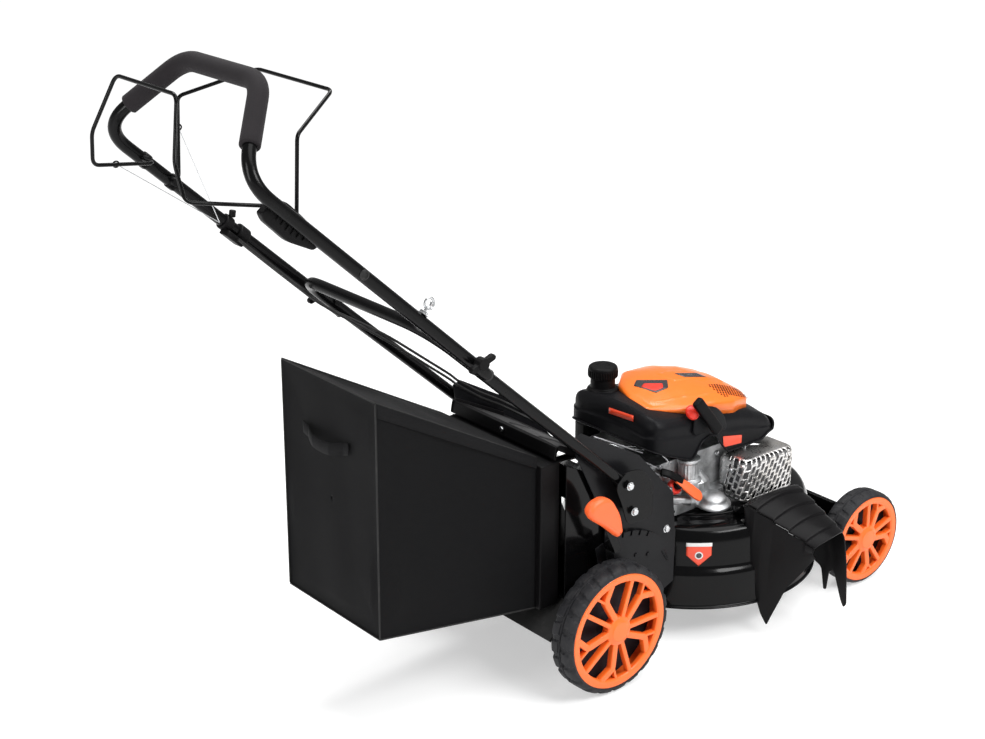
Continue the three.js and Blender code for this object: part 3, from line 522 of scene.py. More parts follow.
def rubbery(name, colour, roughness=0.7, grain=(500, 0.12), dust=0.25):
    """Tyre and hose rubber: faint bloom, dust in patches and a dull fine grain."""
    t = Tree(name)
    bloom = t.noise(45, 5, rough=0.65)
    dusty = t.node("ValToRGB", {"stops": [(0.5, 0.0), (0.78, dust)]}, {0: bloom})
    tone = t.mix(dusty, colour, (0.12, 0.115, 0.11))
    relief = t.noise(grain[0], 3)
    return t.shader({"IOR": 1.5, "Specular IOR Level": 0.25},
                    {"Base Color": tone, "Roughness": (bloom - 0.5) * 0.2 + roughness,
                                   "Normal": t.bump(relief, grain[1])})


def foamed(name, colour):
    """Closed-cell foam: packed small cells with a dull skin."""
    t = Tree(name)
    cells, patches = t.cells(850), t.noise(40, 4)
    tone = t.mix(patches, scaled(colour, 0.8), scaled(colour, 1.25))
    pores = t.node("ValToRGB", {"stops": [(0.0, 0.0), (0.5, 1.0)]}, {0: cells})
    return t.shader({"Sheen Weight": 0.03, "Sheen Roughness": 0.5, "Specular IOR Level": 0.2},
                    {"Base Color": tone, "Roughness": (patches - 0.5) * 0.1 + 0.86,
                     "Normal": t.bump(pores * 0.7 + t.noise(260, 3) * 0.5, 0.3)})


def woven(name, colour, thread=1.1, depth=0.18, sheen=0.03):
    """Coated polyester cloth: two sets of threads over and under, on the cloth's own UV map
    in metres, with uneven threads along the length and slightly faded patches."""
    t = Tree(name)
    across = t.node("SeparateXYZ", inputs={0: t.node("TexCoord", output="UV")}, output="X")
    down = t.node("SeparateXYZ", inputs={0: t.node("TexCoord", output="UV")}, output="Y")
    turns = TAU / (thread * MM)
    warp, weft = (across * turns).math("SINE"), (down * turns).math("SINE")
    weave = warp * weft * 0.5 + 0.5
    slub = t.noise(1, 3, t.coordinates("UV", (620, 9, 1)), 0.6)
    slub_across = t.noise(1, 3, t.coordinates("UV", (9, 500, 1)), 0.6)
    fade = t.noise(7, 4, rough=0.6)
    tone = t.mix(slub * 0.5 + fade * 0.3 + weave * 0.2, scaled(colour, 0.7), scaled(colour, 1.45))
    return t.shader({"Sheen Weight": sheen * 0.3, "Sheen Roughness": 0.4, "Specular IOR Level": 0.1},
                    {"Base Color": tone, "Roughness": (fade - 0.5) * 0.12 + (slub - 0.5) * 0.1 + 0.72,
                     "Normal": t.bump(weave * 0.6 + slub * 0.5 + slub_across * 0.3, depth)})


def printed(name, colour, roughness=0.35):
    """A plain printed film: faint print grain and a soft gloss."""
    t = Tree(name)
    speck = t.noise(300, 3)
    tone = t.mix(speck, scaled(colour, 0.88), scaled(colour, 1.06))
    return t.shader({"Coat Weight": 0.2}, {"Base Color": tone,
                                           "Roughness": (speck - 0.5) * 0.1 + roughness,
                                           "Normal": t.bump(speck, 0.02)})


BLACK, COAL = (0.0022, 0.0022, 0.0024), (0.0032, 0.003, 0.0033)
ORANGE, COVER_ORANGE = (0.9, 0.145, 0.017), (0.82, 0.158, 0.014)
RECIPES = {
    "gloss_black": lambda s: painted("gloss_black", BLACK, 0.14, 0.6, 0.04),
    "tube_black": lambda s: painted("tube_black", BLACK, 0.22, 0.4, 0.05),
    "grey_paint": lambda s: painted("grey_paint", (0.008, 0.008, 0.009), 0.3, 0.1, 0.06),
    "black_plastic": lambda s: moulded("black_plastic", COAL, 0.46, (1300, 0.14)),
    "chute_plastic": lambda s: moulded("chute_plastic", (0.0045, 0.0042, 0.0046), 0.34, (900, 0.1),
                                       0.2),
    "housing_plastic": lambda s: moulded("housing_plastic", (0.006, 0.006, 0.007), 0.42, (1600, 0.14)),
    "wheel_core": lambda s: moulded("wheel_core", (0.022, 0.019, 0.023), 0.55, (900, 0.15)),
    "rim_orange": lambda s: moulded("rim_orange", tuple(s.rim_colour), 0.36, (1400, 0.05), 0.07, 0.1),
    "cover_orange": lambda s: moulded("cover_orange", tuple(s.cover_colour), 0.33, (1500, 0.06), 0.07,
                                      0.15),
    "grip_orange": lambda s: moulded("grip_orange", (0.93, 0.13, 0.03), 0.42, (1000, 0.12), 0.08),
    "signal_red": lambda s: moulded("signal_red", (0.75, 0.03, 0.015), 0.4, (1200, 0.06), 0.08),
    "zinc": lambda s: plated("zinc", roughness=0.26),
    "guard_steel": lambda s: plated("guard_steel", (0.82, 0.81, 0.8), 0.3, tint=(0.62, 0.57, 0.5)),
    "dull_steel": lambda s: plated("dull_steel", (0.3, 0.3, 0.31), 0.42),
    "cast_aluminium": lambda s: cast("cast_aluminium"),
    "tyre_rubber": lambda s: rubbery("tyre_rubber", (0.014, 0.014, 0.016), 0.62, (420, 0.2), 0.16),
    "soft_rubber": lambda s: rubbery("soft_rubber", (0.012, 0.012, 0.012), 0.55, (600, 0.08), 0.15),
    "foam": lambda s: foamed("foam", (0.0125, 0.0105, 0.012)),
    "bag_cloth": lambda s: woven("bag_cloth", tuple(s.cloth_colour)),
    "bag_trim": lambda s: woven("bag_trim", (0.006, 0.006, 0.0065), 1.6, 0.22, 0.05),
    "blank_orange": lambda s: printed("blank_orange", (0.80, 0.062, 0.018)),
    "blank_white": lambda s: printed("blank_white", (0.72, 0.71, 0.7)),
    "blank_dark": lambda s: printed("blank_dark", (0.03, 0.028, 0.03), 0.28),
}
MADE = {}


def finish(name):
    """The named finish, made once from its recipe."""
    if name not in MADE:
        MADE[name] = RECIPES[name](bpy.context.scene.mower_finish)
    return MADE[name]


def dress(node, finish_name, rounding=0.8, angle=32):
    """Gives a CAD node its finish, and softens its edges with modifiers: its triangles are
    welded, merged where they are level, and bevelled where they meet at an angle."""
    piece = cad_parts[node]
    piece.data.materials.clear()
    piece.data.materials.append(finish(finish_name))
    weld = piece.modifiers.new("Weld", "WELD")
    weld.merge_threshold = 0.03 * MM
    level = piece.modifiers.new("Level", "DECIMATE")
    level.decimate_type, level.angle_limit = "DISSOLVE", math.radians(1.5)
    if rounding:
        rim = piece.modifiers.new("Rim", "BEVEL")
        rim.width, rim.segments, rim.limit_method = rounding * MM, 2, "ANGLE"
        rim.angle_limit = math.radians(angle)
        rim.use_clamp_overlap = True
    return piece


# ------------------------------------------------------------------ wheels
def tread(size, side, lugs):
    """A tyre: a section from bead to bead, turned about the axle. Two rows of lugs stand
    proud of the tread by a third of its wall: a lug is where the turning phase, offset by half a pitch
    between the rows and swept with the distance from the middle, is within a third of a
    pitch of its centre."""
    low, high, rim, top = size["inner"], size["outer"], size["rim"], size["radius"]
    section = soften([(rim - 3, low + 3), (rim + 1.5, low + 0.6), (top - 9, low), (top - 2.5, low + 4),
                      (top, low + 12), (top, high - 12), (top - 2.5, high - 4), (top - 9, high),
                      (rim + 1.5, high - 0.6), (rim - 3, high - 3)], 4, 3, closed=False)
    gaps = np.concatenate([[0], np.cumsum(np.linalg.norm(np.diff(section, axis=0), axis=1))])
    at = np.linspace(0, gaps[-1], 64)
    r, y = np.interp(at, gaps, section[:, 0]), np.interp(at, gaps, section[:, 1])
    a = np.arange(lugs * 14) / (lugs * 14) * TAU
    u = (y - (low + high) / 2) / ((high - low) / 2)
    phase = a[:, None] * lugs / TAU + 0.5 * (u > 0)[None] + 0.22 * np.abs(u)[None]
    near = np.abs(phase % 1 - 0.5)
    lug = np.clip((0.34 - near) / 0.05 + 0.5, 0, 1) * np.clip((np.abs(u) - 0.10) / 0.05, 0, 1)[None]
    rib = np.clip((0.045 - np.abs(u)) / 0.03 + 0.5, 0, 1)[None]
    outer = np.clip((r - (rim + 3.5)) / 3, 0, 1)[None]
    depth = 0.34 * (top - rim - 3) * outer * (1 - np.maximum(lug, rib))
    radius = r[None] - depth
    points = np.stack([size["x"] + radius * np.sin(a)[:, None],
                       np.broadcast_to(side * y[None], radius.shape),
                       size["radius"] + radius * np.cos(a)[:, None]], -1)
    return grid(points, around=True, along=True)


def spokes(size, side, phase):
    """The wheel's orange face: a turned ring and hub, five straight spokes, and five that
    leave the hub midway between them, lean towards one and turn out again at an elbow."""
    rim, low, high = size["rim"], size["inner"], size["outer"]
    x, z, axis, k = size["x"], size["radius"], (0, side, 0), size["rim"] / 113.5
    ring = soften([(rim - 16, high - 13), (rim - 16, high - 3.5), (rim - 13, high - 1.2),
                   (rim - 2, high - 0.5),
                   (rim + 0.6, high - 2.5), (rim + 0.1, low + 2), (rim - 3, low + 2),
                   (rim - 4, high - 14)], 0.9, 3)
    hub = soften([(0, high + 2.2), (19, high + 2.2), (21, high + 0.6), (23.5, high - 0.6),
                  (27.5, high - 2), (29, high - 4),
                  (29, high - 18), (0, high - 18)], [0, 1.6, 1, 1, 1.5, 1, 0, 0], 3, closed=False)
    face = spin(ring, (x, 0, z), axis, 120, True) + spin(hub, (x, 0, z), axis, 64)
    reach, y = rim - 8, side * (high - 8.6)
    thin, thick = box_section(9, 13, 1.6), box_section(12.5, 13, 2)
    arm = lambda r, turn, *trim: (x + r * k * math.cos(math.radians(turn)), y,
                                  z - r * k * math.sin(math.radians(turn)), *trim)
    for turn in phase + np.arange(5) * TAU / 5:
        straight = [(x + 22, y, z), (x + reach, y, z)]
        bent = [arm(24, 36), arm(77, 28, 7), arm(101, 43)]
        brace = [arm(74, 27), arm(101, 20)]
        face = face + carried(route(straight), thin, (0, 1, 0)).spun(turn, x, z)
        face = face + carried(route(bent, 6), thick, (0, 1, 0)).spun(turn, x, z)
        face = face + carried(route(brace, 6), box_section(5, 12, 1), (0, 1, 0)).spun(turn, x, z)
    return face


def make_wheels(lugs):
    """Tyres, orange wheel faces and the dark webs behind them."""
    for place_name, size, side in WHEELS:
        body = "wheel_" + place_name
        build(f"tyre_{place_name}_treaded", tread(size, side, lugs), finish("tyre_rubber"), body,
              [f"tyre_{place_name}"], 30)
        build(f"rim_{place_name}_face", spokes(size, side, 0.0 if size is REAR else -0.314),
              finish("rim_orange"), body,
              [f"rim_{place_name}"], 35)
        low, rim = size["inner"], size["rim"]
        web = soften([(7, low + 14), (30, low + 14), (36, low + 17), (rim - 12, low + 17),
                      (rim - 4.2, low + 4),
                      (rim - 4.2, low + 22), (rim - 12, low + 21), (36, low + 21), (30, low + 24),
                      (7, low + 24)], 2, 3)
        build(f"rim_{place_name}_web", spin(web, (size["x"], 0, size["radius"]), (0, side, 0), 72,
                                            True),
              finish("wheel_core"), body, [f"rim_{place_name}"], 35)


# ------------------------------------------------------------------ deck
def make_deck():
    """The pressed deck: a profile turned about the crankshaft's line, left open at its side
    and rear mouths and given its wall, with the front bracket and the chute's hinge lugs."""
    profile = soften([(22, 235), (196, 235), (206, 231), (222, 231), (240, 226), (249, 205),
                      (252.5, 152), (262, 140),
                      (264.5, 82), (266, 74), (269.5, 72.5), (270.5, 70)],
                     [0, 5, 5, 8, 14, 10, 5, 6, 6, 2, 1.5, 0], 5, closed=False)
    a = np.arange(200) / 200 * TAU
    points = np.stack([CRANK_X + profile[:, :1] * np.cos(a), profile[:, :1] * np.sin(a),
                       np.broadcast_to(profile[:, 1:], (len(profile), 200))], -1)
    middle = (points[:-1] + points[1:]) / 2
    x, y, z = middle[..., 0], middle[..., 1], middle[..., 2]
    side = (x > 388) & (x < 476) & (y < -205) & (z > 100) & (z < 213)
    rear = (x < 240) & (np.abs(y) < 130) & (z > 146) & (z < 222)
    shell = grid(points, around=True, keep=~(side | rear))
    build("deck_shell", shell, finish("gloss_black"), "deck", ["deck"], 50,
          thickness=2.5, outward=1)
    cheek = soften([(690, 92), (742, 70), (784, 70), (790, 100), (760, 124), (722, 138), (690, 158)], 6,
                   3)
    bracket = both_sides(slab(cheek, -174.5, -172)) + slab(
        soften([(-174, 92), (174, 92), (174, 158), (-174, 158)], 3, 2), 683, 691, "yz")
    lug = soften([(-222, 251), (-210, 262), (-194, 238.5), (-202, 238.5)], 3, 3)
    lugs = slab(lug, 362, 368, "yz") + slab(lug, 496, 502, "yz")
    foot = slab(soften([(362, -200), (502, -200), (502, -186), (362, -186)], 2, 2), 235.5, 241.5, "xy")
    pin = rod((361, -216, 258), (503, -216, 258), 2.6)
    build("deck_brackets", bracket + lugs + foot + pin, finish("gloss_black"), "deck",
          ["deck"])
    seam = tube([(CRANK_X + 190 * math.cos(k), 190 * math.sin(k), 236) for k in np.linspace(2.2, 5.2,
            40)],
                1.6, (0.1, 0.05, 1), 12)
    build("deck_top_bead", seam, finish("gloss_black"), "deck")
    for node in ("rear_housing", "front_cover"):
        dress(node, "gloss_black" if node == "rear_housing" else "black_plastic", 1.2)
    dress("rear_skirt", "soft_rubber", 0.6)


def make_labels():
    """Blank stickers: a shield on the deck, with its white top, ring and dot."""
    def shield(top, bottom, half, point, name, shade, lift):
        v = np.linspace(0, 1, 14)[:, None]
        u = np.linspace(-1, 1, 15)[None]
        height = top + (bottom - top) * v - point * np.clip(1 - np.abs(u), 0, 1) * v
        across = np.broadcast_to(u * half, height.shape)
        radius = 250.0 + (252.5 - 250.0) * (205 - height) / 53
        turn = math.radians(230.9) + across / 251
        r = radius + lift
        points = np.stack([CRANK_X + r * np.cos(turn), r * np.sin(turn), height], -1)
        build(name, grid(points), finish(shade), "deck", thickness=0.3, outward=0,
              weld=False)
    shield(203, 178, 24.5, 22, "deck_shield", "blank_orange", 0.5)
    shield(204, 196.5, 25.5, 0, "deck_shield_top", "blank_white", 0.9)
    for name, radius, shade, lift in (("deck_shield_ring", 8, "blank_white", 0),
                                      ("deck_shield_dot", 5.5, "blank_dark", 0.35)):
        disc = slab(circle(radius, 32), lift, lift + 0.3, "xy", 0.1)
        turn = math.radians(230.9) + disc.points[:, 0] / 251
        r = 252.3 + disc.points[:, 2]
        curved = np.stack([CRANK_X + r * np.cos(turn), r * np.sin(turn), 178 + disc.points[:, 1]], 1)
        build(name, Shape(curved, disc.faces), finish(shade), "deck")


# ------------------------------------------------------------------ engine
HOUSING_TOP = ([196, 204, 216, 330, 440, 480, 520, 538, 552],
               [434, 448, 455, 441, 424, 412, 395, 380, 366])
HOUSING_LOW = ([196, 208, 298, 306, 330, 352, 366, 392, 404, 500, 522, 536, 552],
               [388, 382, 345, 346, 377, 383, 378, 346, 335, 334, 346, 348, 368])


def housing_top(x, y):
    """Height of the fan housing's top: a slope along x that falls off towards both sides."""
    return np.interp(x, *HOUSING_TOP) - 14 * (np.abs(y) / 115) ** 2.2


def make_housing():
    """The fan housing: its plan is a rounded rectangle. Each plan point rises from the lower
    edge's height at its x to the top's height, and the last rings draw in by a quarter
    circle and then shrink onto the middle, following the top's slope."""
    plan = soften([(200, -126), (548, -126), (548, 126), (200, 126)], [40, 26, 26, 40], 16)
    gaps = np.concatenate([[0], np.cumsum(np.linalg.norm(np.diff(np.vstack([plan, plan[:1]]), axis=0),
            axis=1))])
    at = np.linspace(0, gaps[-1], 361)[:-1]
    loop = np.vstack([plan, plan[:1]])
    plan = np.stack([np.interp(at, gaps, loop[:, k]) for k in range(2)], 1)
    top = lambda ring: housing_top(*ring.T)
    low = np.interp(plan[:, 0], *HOUSING_LOW)
    rise = np.linspace(0, 1, 14)[:, None]
    wall_top = top(plan) - 16
    # a shallow step runs round the wall below the top
    step = 3.2 * np.clip((rise - 0.72) / 0.06, 0, 1)
    shrink = lambda by: set_in(plan, by)
    rows = []
    for k in range(14):
        ring = shrink(step[k, 0]) if step[k, 0] > 0 else plan
        rows.append(np.column_stack([ring, low + (wall_top - low) * rise[k, 0]]))
    for turn in np.linspace(0.15, math.pi / 2, 8):
        ring = shrink(3.2 + 16 * (1 - math.cos(turn)))
        rows.append(np.column_stack([ring, top(ring) - 16 + 16 * math.sin(turn)]))
    middle = np.array([360.0, 0.0])
    last = rows[-1][:, :2]
    for share in (0.9, 0.75, 0.55, 0.3, 0.08):
        ring = middle + (last - middle) * share
        rows.append(np.column_stack([ring, top(ring)]))
    build("fan_housing", grid(np.stack(rows), around=True), finish("housing_plastic"), "deck",
          ["blower_housing"], 42, thickness=2.6, outward=1)
    lip = np.column_stack([set_in(plan, -1.2), low + 1.5])
    build("fan_housing_rim", carried(np.vstack([lip, lip[:1]]), circle(2.0, 10), (0.2, 0.3, 1.0)),
          finish("housing_plastic"), "deck")
    nose = soften([(508, -92), (549, -60), (556, 0), (549, 60), (508, 92), (500, 60), (500, -60)], 14,
                  6)
    build("fan_housing_nose", slab(nose, 352, 364, "xy", 3), finish("housing_plastic"), "deck")
    collar = soften([(0, 436), (33, 436), (33, 446), (30, 452), (25, 454), (24.5, 474), (21, 474),
                     (21, 440), (0, 440)],
                    [0, 2, 3, 2, 2, 1, 1, 0, 0], 3, closed=False)
    build("filler_neck", spin(collar, (247, 72, 0), (0, 0, 1), 56), finish("black_plastic"), "deck",
          ["fuel_tank"])
    tank = slab(soften([(209, -114), (320, -114), (320, 114), (209, 114)], 42, 10), 394, 434, "xy", 5)
    build("fuel_tank_moulding", tank, finish("black_plastic"), "deck", ["fuel_tank"])
    level, y = np.meshgrid([430.0, 442.0], np.linspace(-66, 2, 12), indexing="ij")
    rows = np.stack([0 * y + 199.4, y, level - 0.06 * y], -1)
    build("tank_strip", grid(rows), finish("blank_orange"), "deck", thickness=0.8,
          outward=0, weld=False)


COVER_PLAN = [(286, 66), (272, 56), (246, -6), (238, -64), (274, -86), (307, -103), (373, -114),
              (426, -117),
              (484, -98), (512, -62), (520, -10), (514, 60), (484, 104), (410, 114), (330, 106)]


def cover_height(x, y):
    """The orange cover's top: a long crown that falls to the front and both sides."""
    ridge = np.interp(x, [236, 262, 300, 340, 385, 430, 470, 505, 530],
                      [450, 458, 464, 467, 466, 459, 446, 426, 406])
    return ridge - 19 * (np.abs(y - 8) / 112) ** 2.4


def cover_relief(x, y):
    """Raised field along the cover's middle and two raised rails beside it, each a product
    of clipped ramps across and along."""
    inside = lambda v, low, high, soft: np.clip((v - low) / soft, 0, 1) * np.clip((high - v) / soft, 0,
            1)
    field = inside(y + 0.25 * (x - 400), -34, 22, 3) * inside(x, 352, 470, 4)
    rails = inside(y + 0.25 * (x - 300), -72, -66, 2) * inside(x, 280, 400, 6)
    return 2.2 * field + 1.4 * rails


def make_cover():
    """The orange cover: rings of its plan outline shrink onto its middle and follow the
    crown's height, the outermost dropping as a short wall. Its grille's holes are painted
    shade: a field of small dark discs laid on it. A raised band runs down its middle."""
    plan = soften(COVER_PLAN, 7, 5)
    middle = np.array([385.0, 2.0])
    rows = [np.column_stack([plan, housing_top(*plan.T) - 2.0])]
    for share, drop in ((1.0, 4.5), (0.992, 2.2), (0.975, 0.8), (0.95, 0.1)):
        ring = middle + (plan - middle) * share
        rows.append(np.column_stack([ring, np.maximum(cover_height(*ring.T) - drop,
                housing_top(*ring.T) + 3 - drop / 2)]))
    for share in np.linspace(0.93, 0.02, 46):
        ring = middle + (plan - middle) * share
        x, y = ring.T
        height = np.maximum(cover_height(x, y), housing_top(x, y) + 3)
        rows.append(np.column_stack([ring, height + cover_relief(x, y)]))
    build("engine_cover", grid(np.stack(rows), around=True), finish("cover_orange"), "deck",
          ["top_cover"], 40, thickness=2.0, outward=1)
    # grille: rows of small dark discs near the cover's front right, painted shade in place of the grille's holes
    gx, gy = np.meshgrid(np.arange(14), np.arange(8))
    hx = 404 + gx.ravel() * 6.6 + (gy.ravel() % 2) * 3.3
    hy = -62 - gy.ravel() * 5.6 - 0.1 * (hx - 404)
    inside = (hx < 488) & (hy > -103) & (hx > 404 + (-62 - hy) * 0.1)
    hx, hy = hx[inside], hy[inside]
    a = np.arange(8) / 8 * TAU
    cx = hx[:, None] + 1.9 * np.cos(a)
    cy = hy[:, None] + 1.9 * np.sin(a)
    top = np.maximum(cover_height(cx, cy), housing_top(cx, cy) + 3) + 0.3
    disc = np.stack([cx, cy, top], -1).reshape(-1, 3)
    faces = np.arange(len(disc)).reshape(-1, 8)
    build("cover_grille_hole_shade", Shape(disc, [faces]), finish("black_plastic"), "deck",
          thickness=0.4,
          outward=-1, weld=False)
    def plate(outline, name, shade, lift):
        ring = soften(np.array(outline, float), 3, 4)
        centre = ring.mean(0)
        shares = np.array([1.0, 0.8, 0.55, 0.3, 0.05])[:, None, None]
        flat = centre + (ring - centre)[None] * shares
        x, y = flat[..., 0], flat[..., 1]
        points = np.dstack([flat, np.maximum(cover_height(x, y), housing_top(x,
                y) + 3) + cover_relief(x, y) + lift])
        build(name, grid(points, around=True), finish(shade), "deck", thickness=0.4,
              outward=0,
              weld=False)
    plate([(303, 34), (345, -10), (322, -36), (290, -35), (282, 20)], "cover_plate", "blank_dark", 0.5)
    plate([(300, 10), (326, -16), (314, -30), (293, -29), (287, 4)], "cover_plate_field", "signal_red",
          0.9)
    plate([(378, 4), (428, -9), (432, -34), (382, -22)], "cover_badge", "blank_dark", 0.6)


def make_engine_metal():
    """Castings, fins, guard and the small parts round the engine."""
    for node, shade, rounding in (
            ("crankcase", "cast_aluminium", 1.6), ("cylinder", "cast_aluminium", 0.6),
            ("carburetor", "cast_aluminium", 1.2), ("gearbox", "cast_aluminium", 1.5),
            ("flywheel", "cast_aluminium", 0.8), ("spark_plug", "soft_rubber", 1.0),
            ("muffler", "dull_steel", 2.0),
            ("air_filter_cover", "black_plastic", 3.0), ("crankshaft", "zinc", 0.8),
            ("blade", "dull_steel", 0.5),
            ("blade_adapter", "dull_steel", 1.0), ("blade_bolt", "zinc", 1.5),
            ("gearbox_pulley", "zinc", 0.6),
            ("drive_belt", "soft_rubber", 1.0), ("drive_shaft", "zinc", 0.3)):
        dress(node, shade, rounding)
    # heat guard: its plan runs round three sides; each row rises, turns in and closes the top
    plan = soften([(405, -108), (405, -175), (548, -175), (548, -108)], [0, 17, 17, 0], 8, closed=False)
    gaps = np.concatenate([[0], np.cumsum(np.linalg.norm(np.diff(plan, axis=0), axis=1))])
    heights = np.concatenate([np.linspace(240, 313, 50),
                              313 + 12 * np.sin(np.linspace(0.2, math.pi / 2, 7)),
                              np.full(8, 325.0)])
    inset = np.concatenate([np.zeros(50), 12 * (1 - np.cos(np.linspace(0.2, math.pi / 2, 7))),
                            np.linspace(16, 60, 8)])
    lean = np.concatenate([(heights[:50] - 240) * 0.42, np.full(15, 73 * 0.42)])
    s = np.linspace(0, 1, 190)[None] * gaps[-1] + lean[:,
            None] * np.clip(np.sin(np.linspace(0, math.pi, 190)), 0, 1) ** 0.3
    s = np.clip(s, 0, gaps[-1])
    x, y = np.interp(s, gaps, plan[:, 0]), np.interp(s, gaps, plan[:, 1])
    cx, cy = 476.5, -108.0
    pull = np.clip(inset[:, None] / np.maximum(np.hypot(x - cx, y - cy), 1), 0, 0.97)
    points = np.stack([x + (cx - x) * pull, y + (cy - y) * pull,
                       np.broadcast_to(heights[:, None], x.shape)], -1)
    i, j = np.meshgrid(np.arange(64), np.arange(189), indexing="ij")
    column, row = j % 9, (i + j // 9 % 2 * 6) % 12
    slot_hole = (column >= 3) & (row >= 3) & (i < 54) & (i > 2) & (j > 6) & (j < 182)
    build("heat_guard", grid(points, keep=~slot_hole), finish("guard_steel"), "deck",
          ["muffler_guard"], 50,
          thickness=1.6, outward=-1)
    heads = [((404, -140, 300), (-1, 0, 0)), ((470, -175.5, 232), (0, -1, 0)),
             ((232, -101, 320), (0, -1, 0)),
             ((300, -101, 325), (0, -1, 0)), ((400, -101, 325), (0, -1, 0)),
             ((250, -129, 252), (0, -1, 0)),
             ((380, -129, 252), (0, -1, 0))]
    screws = bolt(*heads[0], 4.6, 5)
    for at, axis in heads[1:]:
        screws = screws + bolt(at, axis, 4.6, 5)
    build("engine_screws", screws, finish("zinc"), "deck")
    links = (rod((128, -36, 394), (300, -58, 350), 1.6) + rod((132, -30, 398), (214, -66, 372), 1.4)
             + tube([(214, -66, 372), (240, -84, 368, 8), (262, -98, 350, 10), (268, -100, 335)], 1.6,
                    (0.3, 1, 0.4), 12)
             + rod((150, -60, 384), (150, 30, 384), 2.2) + rod((182, -60, 372), (182, 30, 372), 2.2))
    build("governor_links", links, finish("zinc"), "deck")
    rail = carried(route([(112, -52, 408), (150, -60, 392, 8), (226, -92, 346, 10), (262, -104, 322)]),
                   box_section(3, 15, 1),
                   (0.2, 1, 0.1), 0.5)
    build("control_rail", rail + bolt((140, -64, 396), (-0.2, -1, 0.1), 4, 4) + bolt((240, -104, 338),
            (-0.2, -1, 0.1), 4, 4)
          + rod((120, -70, 390), (250, -112, 318), 2.4) + rod((116, -46, 418), (210, -84, 372), 2.0),
          finish("dull_steel"), "deck")
    boss = soften([(0, 0), (27, 0), (27, 5), (21, 7), (21, 40), (24, 43), (24, 49), (0, 50)],
                  [0, 1, 1, 2, 2, 1, 1, 0], 3,
                  closed=False)
    dome = soften([(0, 0), (38, 0), (38, 5), (29, 10), (26, 18), (12, 23), (0, 24)],
                  [0, 1, 2, 4, 5, 6, 0], 4, closed=False)
    build("valve_boss", spin(boss, (308, -112, 296), (0, 0, 1), 80, ribs=(20, 0.7, 8, 39)) + spin(dome,
            (352, -138, 243), (0, -0.12, 1), 56)
          + rod((268, -108, 262), (300, -130, 262), 11) + rod((250, -118, 244), (250, -118, 300), 8),
          finish("cast_aluminium"), "deck")
    coil = np.linspace(0, 1, 420)
    turns = np.stack([150 + 40 * coil, -52 + 3.4 * np.cos(coil * TAU * 20),
                      392 - 13 * coil + 3.4 * np.sin(coil * TAU * 20)], 1)
    build("governor_spring", carried(turns, circle(0.55, 8), (1, 0.05, 0.02)), finish("zinc"), "deck")
    lead = tube([(575, 0, 302), (592, -10, 306, 12), (584, -60, 330, 22), (530, -90, 345, 20),
                 (500, -100, 345)], 3.6,
                (0.3, 0.2, 1), 16)
    build("spark_lead", lead, finish("soft_rubber"), "deck")


def make_fillers():
    """The ribbed fuel cap, the dipstick with its orange pull tag, and the starter's grip."""
    cap = soften([(0, 474), (26, 474), (29.5, 476), (29.5, 491), (28.6, 496), (25, 498.5), (14, 498.5),
                  (13, 497.3),
                  (0, 497.3)], [0, 1, 1.5, 2, 2, 1.5, 0.8, 0.8, 0], 3, closed=False)
    build("fuel_cap_ribbed", spin(cap, (247, 72, 0), (0, 0, 1), 216, ribs=(36, 0.75, 477, 490.5)),
          finish("black_plastic"), "fuel_cap", ["fuel_cap"], 40)
    seat, n = np.array([268, -112.4, 292.3]), np.array([0, -0.857493, 0.514496])
    plug = soften([(0, 0), (14, 0), (15, 1.5), (15, 9), (13, 11), (0, 11)], [0, 1, 1, 2, 1, 0], 3,
                  closed=False)
    build("dipstick_plug", spin(plug, seat, n, 48, ribs=(12, 0.8, 1, 9)), finish("signal_red"),
          "oil_cap",
          ["oil_cap"])
    local = np.array([(1, 0, 0), (0, n[2], -n[1]), n], float)
    tag = slab(soften([(-10, 8), (0, 18), (22, 0), (44, -26), (43, -38), (32, -44), (20, -32)], 5, 4),
               19, 25, "xy", 2)
    build("dipstick_tag", Shape(seat + tag.points @ local, tag.faces), finish("grip_orange"), "oil_cap",
          ["oil_cap"])
    bar = seat + np.array([(-32, 36, 18), (-20, 28, 24), (0, 12, 24), (9, 4, 20)], float) @ local
    bar = [tuple(k) + (6.0,) for k in bar]
    build("dipstick_handle", carried(route(bar), box_section(15, 9, 3), n, 2.5) + rod(seat + n * 10,
            seat + n * 24, 8),
          finish("black_plastic"), "oil_cap", ["oil_cap"])
    grip = [(300, -136, 472), (327, -141, 435, 20), (353, -146, 399)]
    build("starter_handle", carried(route(grip), box_section(23, 14, 5), (0, 1, 0.01), 4),
          finish("black_plastic"),
          "starter_grip", ["starter_grip"])
    collar = soften([(0, 0), (13, 0), (13, 6), (9, 11), (5, 15), (0, 15)], [0, 1, 2, 2, 1, 0], 3,
                    closed=False)
    build("starter_collar", spin(collar * (1.15, 1.0), (306, -117, 440), (0, -0.8, 0.6), 40),
          finish("signal_red"), "starter_grip",
          ["starter_grip"])
    recess = soften([(300, 398), (398, 384), (388, 418), (366, 440), (332, 452), (306, 440)], 12, 5)
    build("starter_recess", slab(recess, -129, -124, "xz", 2), finish("housing_plastic"), "deck")
    plate = soften([(388, 372), (442, 361), (442, 344), (391, 348)], 1.5, 2)
    build("side_sticker", slab(plate, -127.2, -126.4, "xz", 0.2), finish("blank_orange"), "deck")


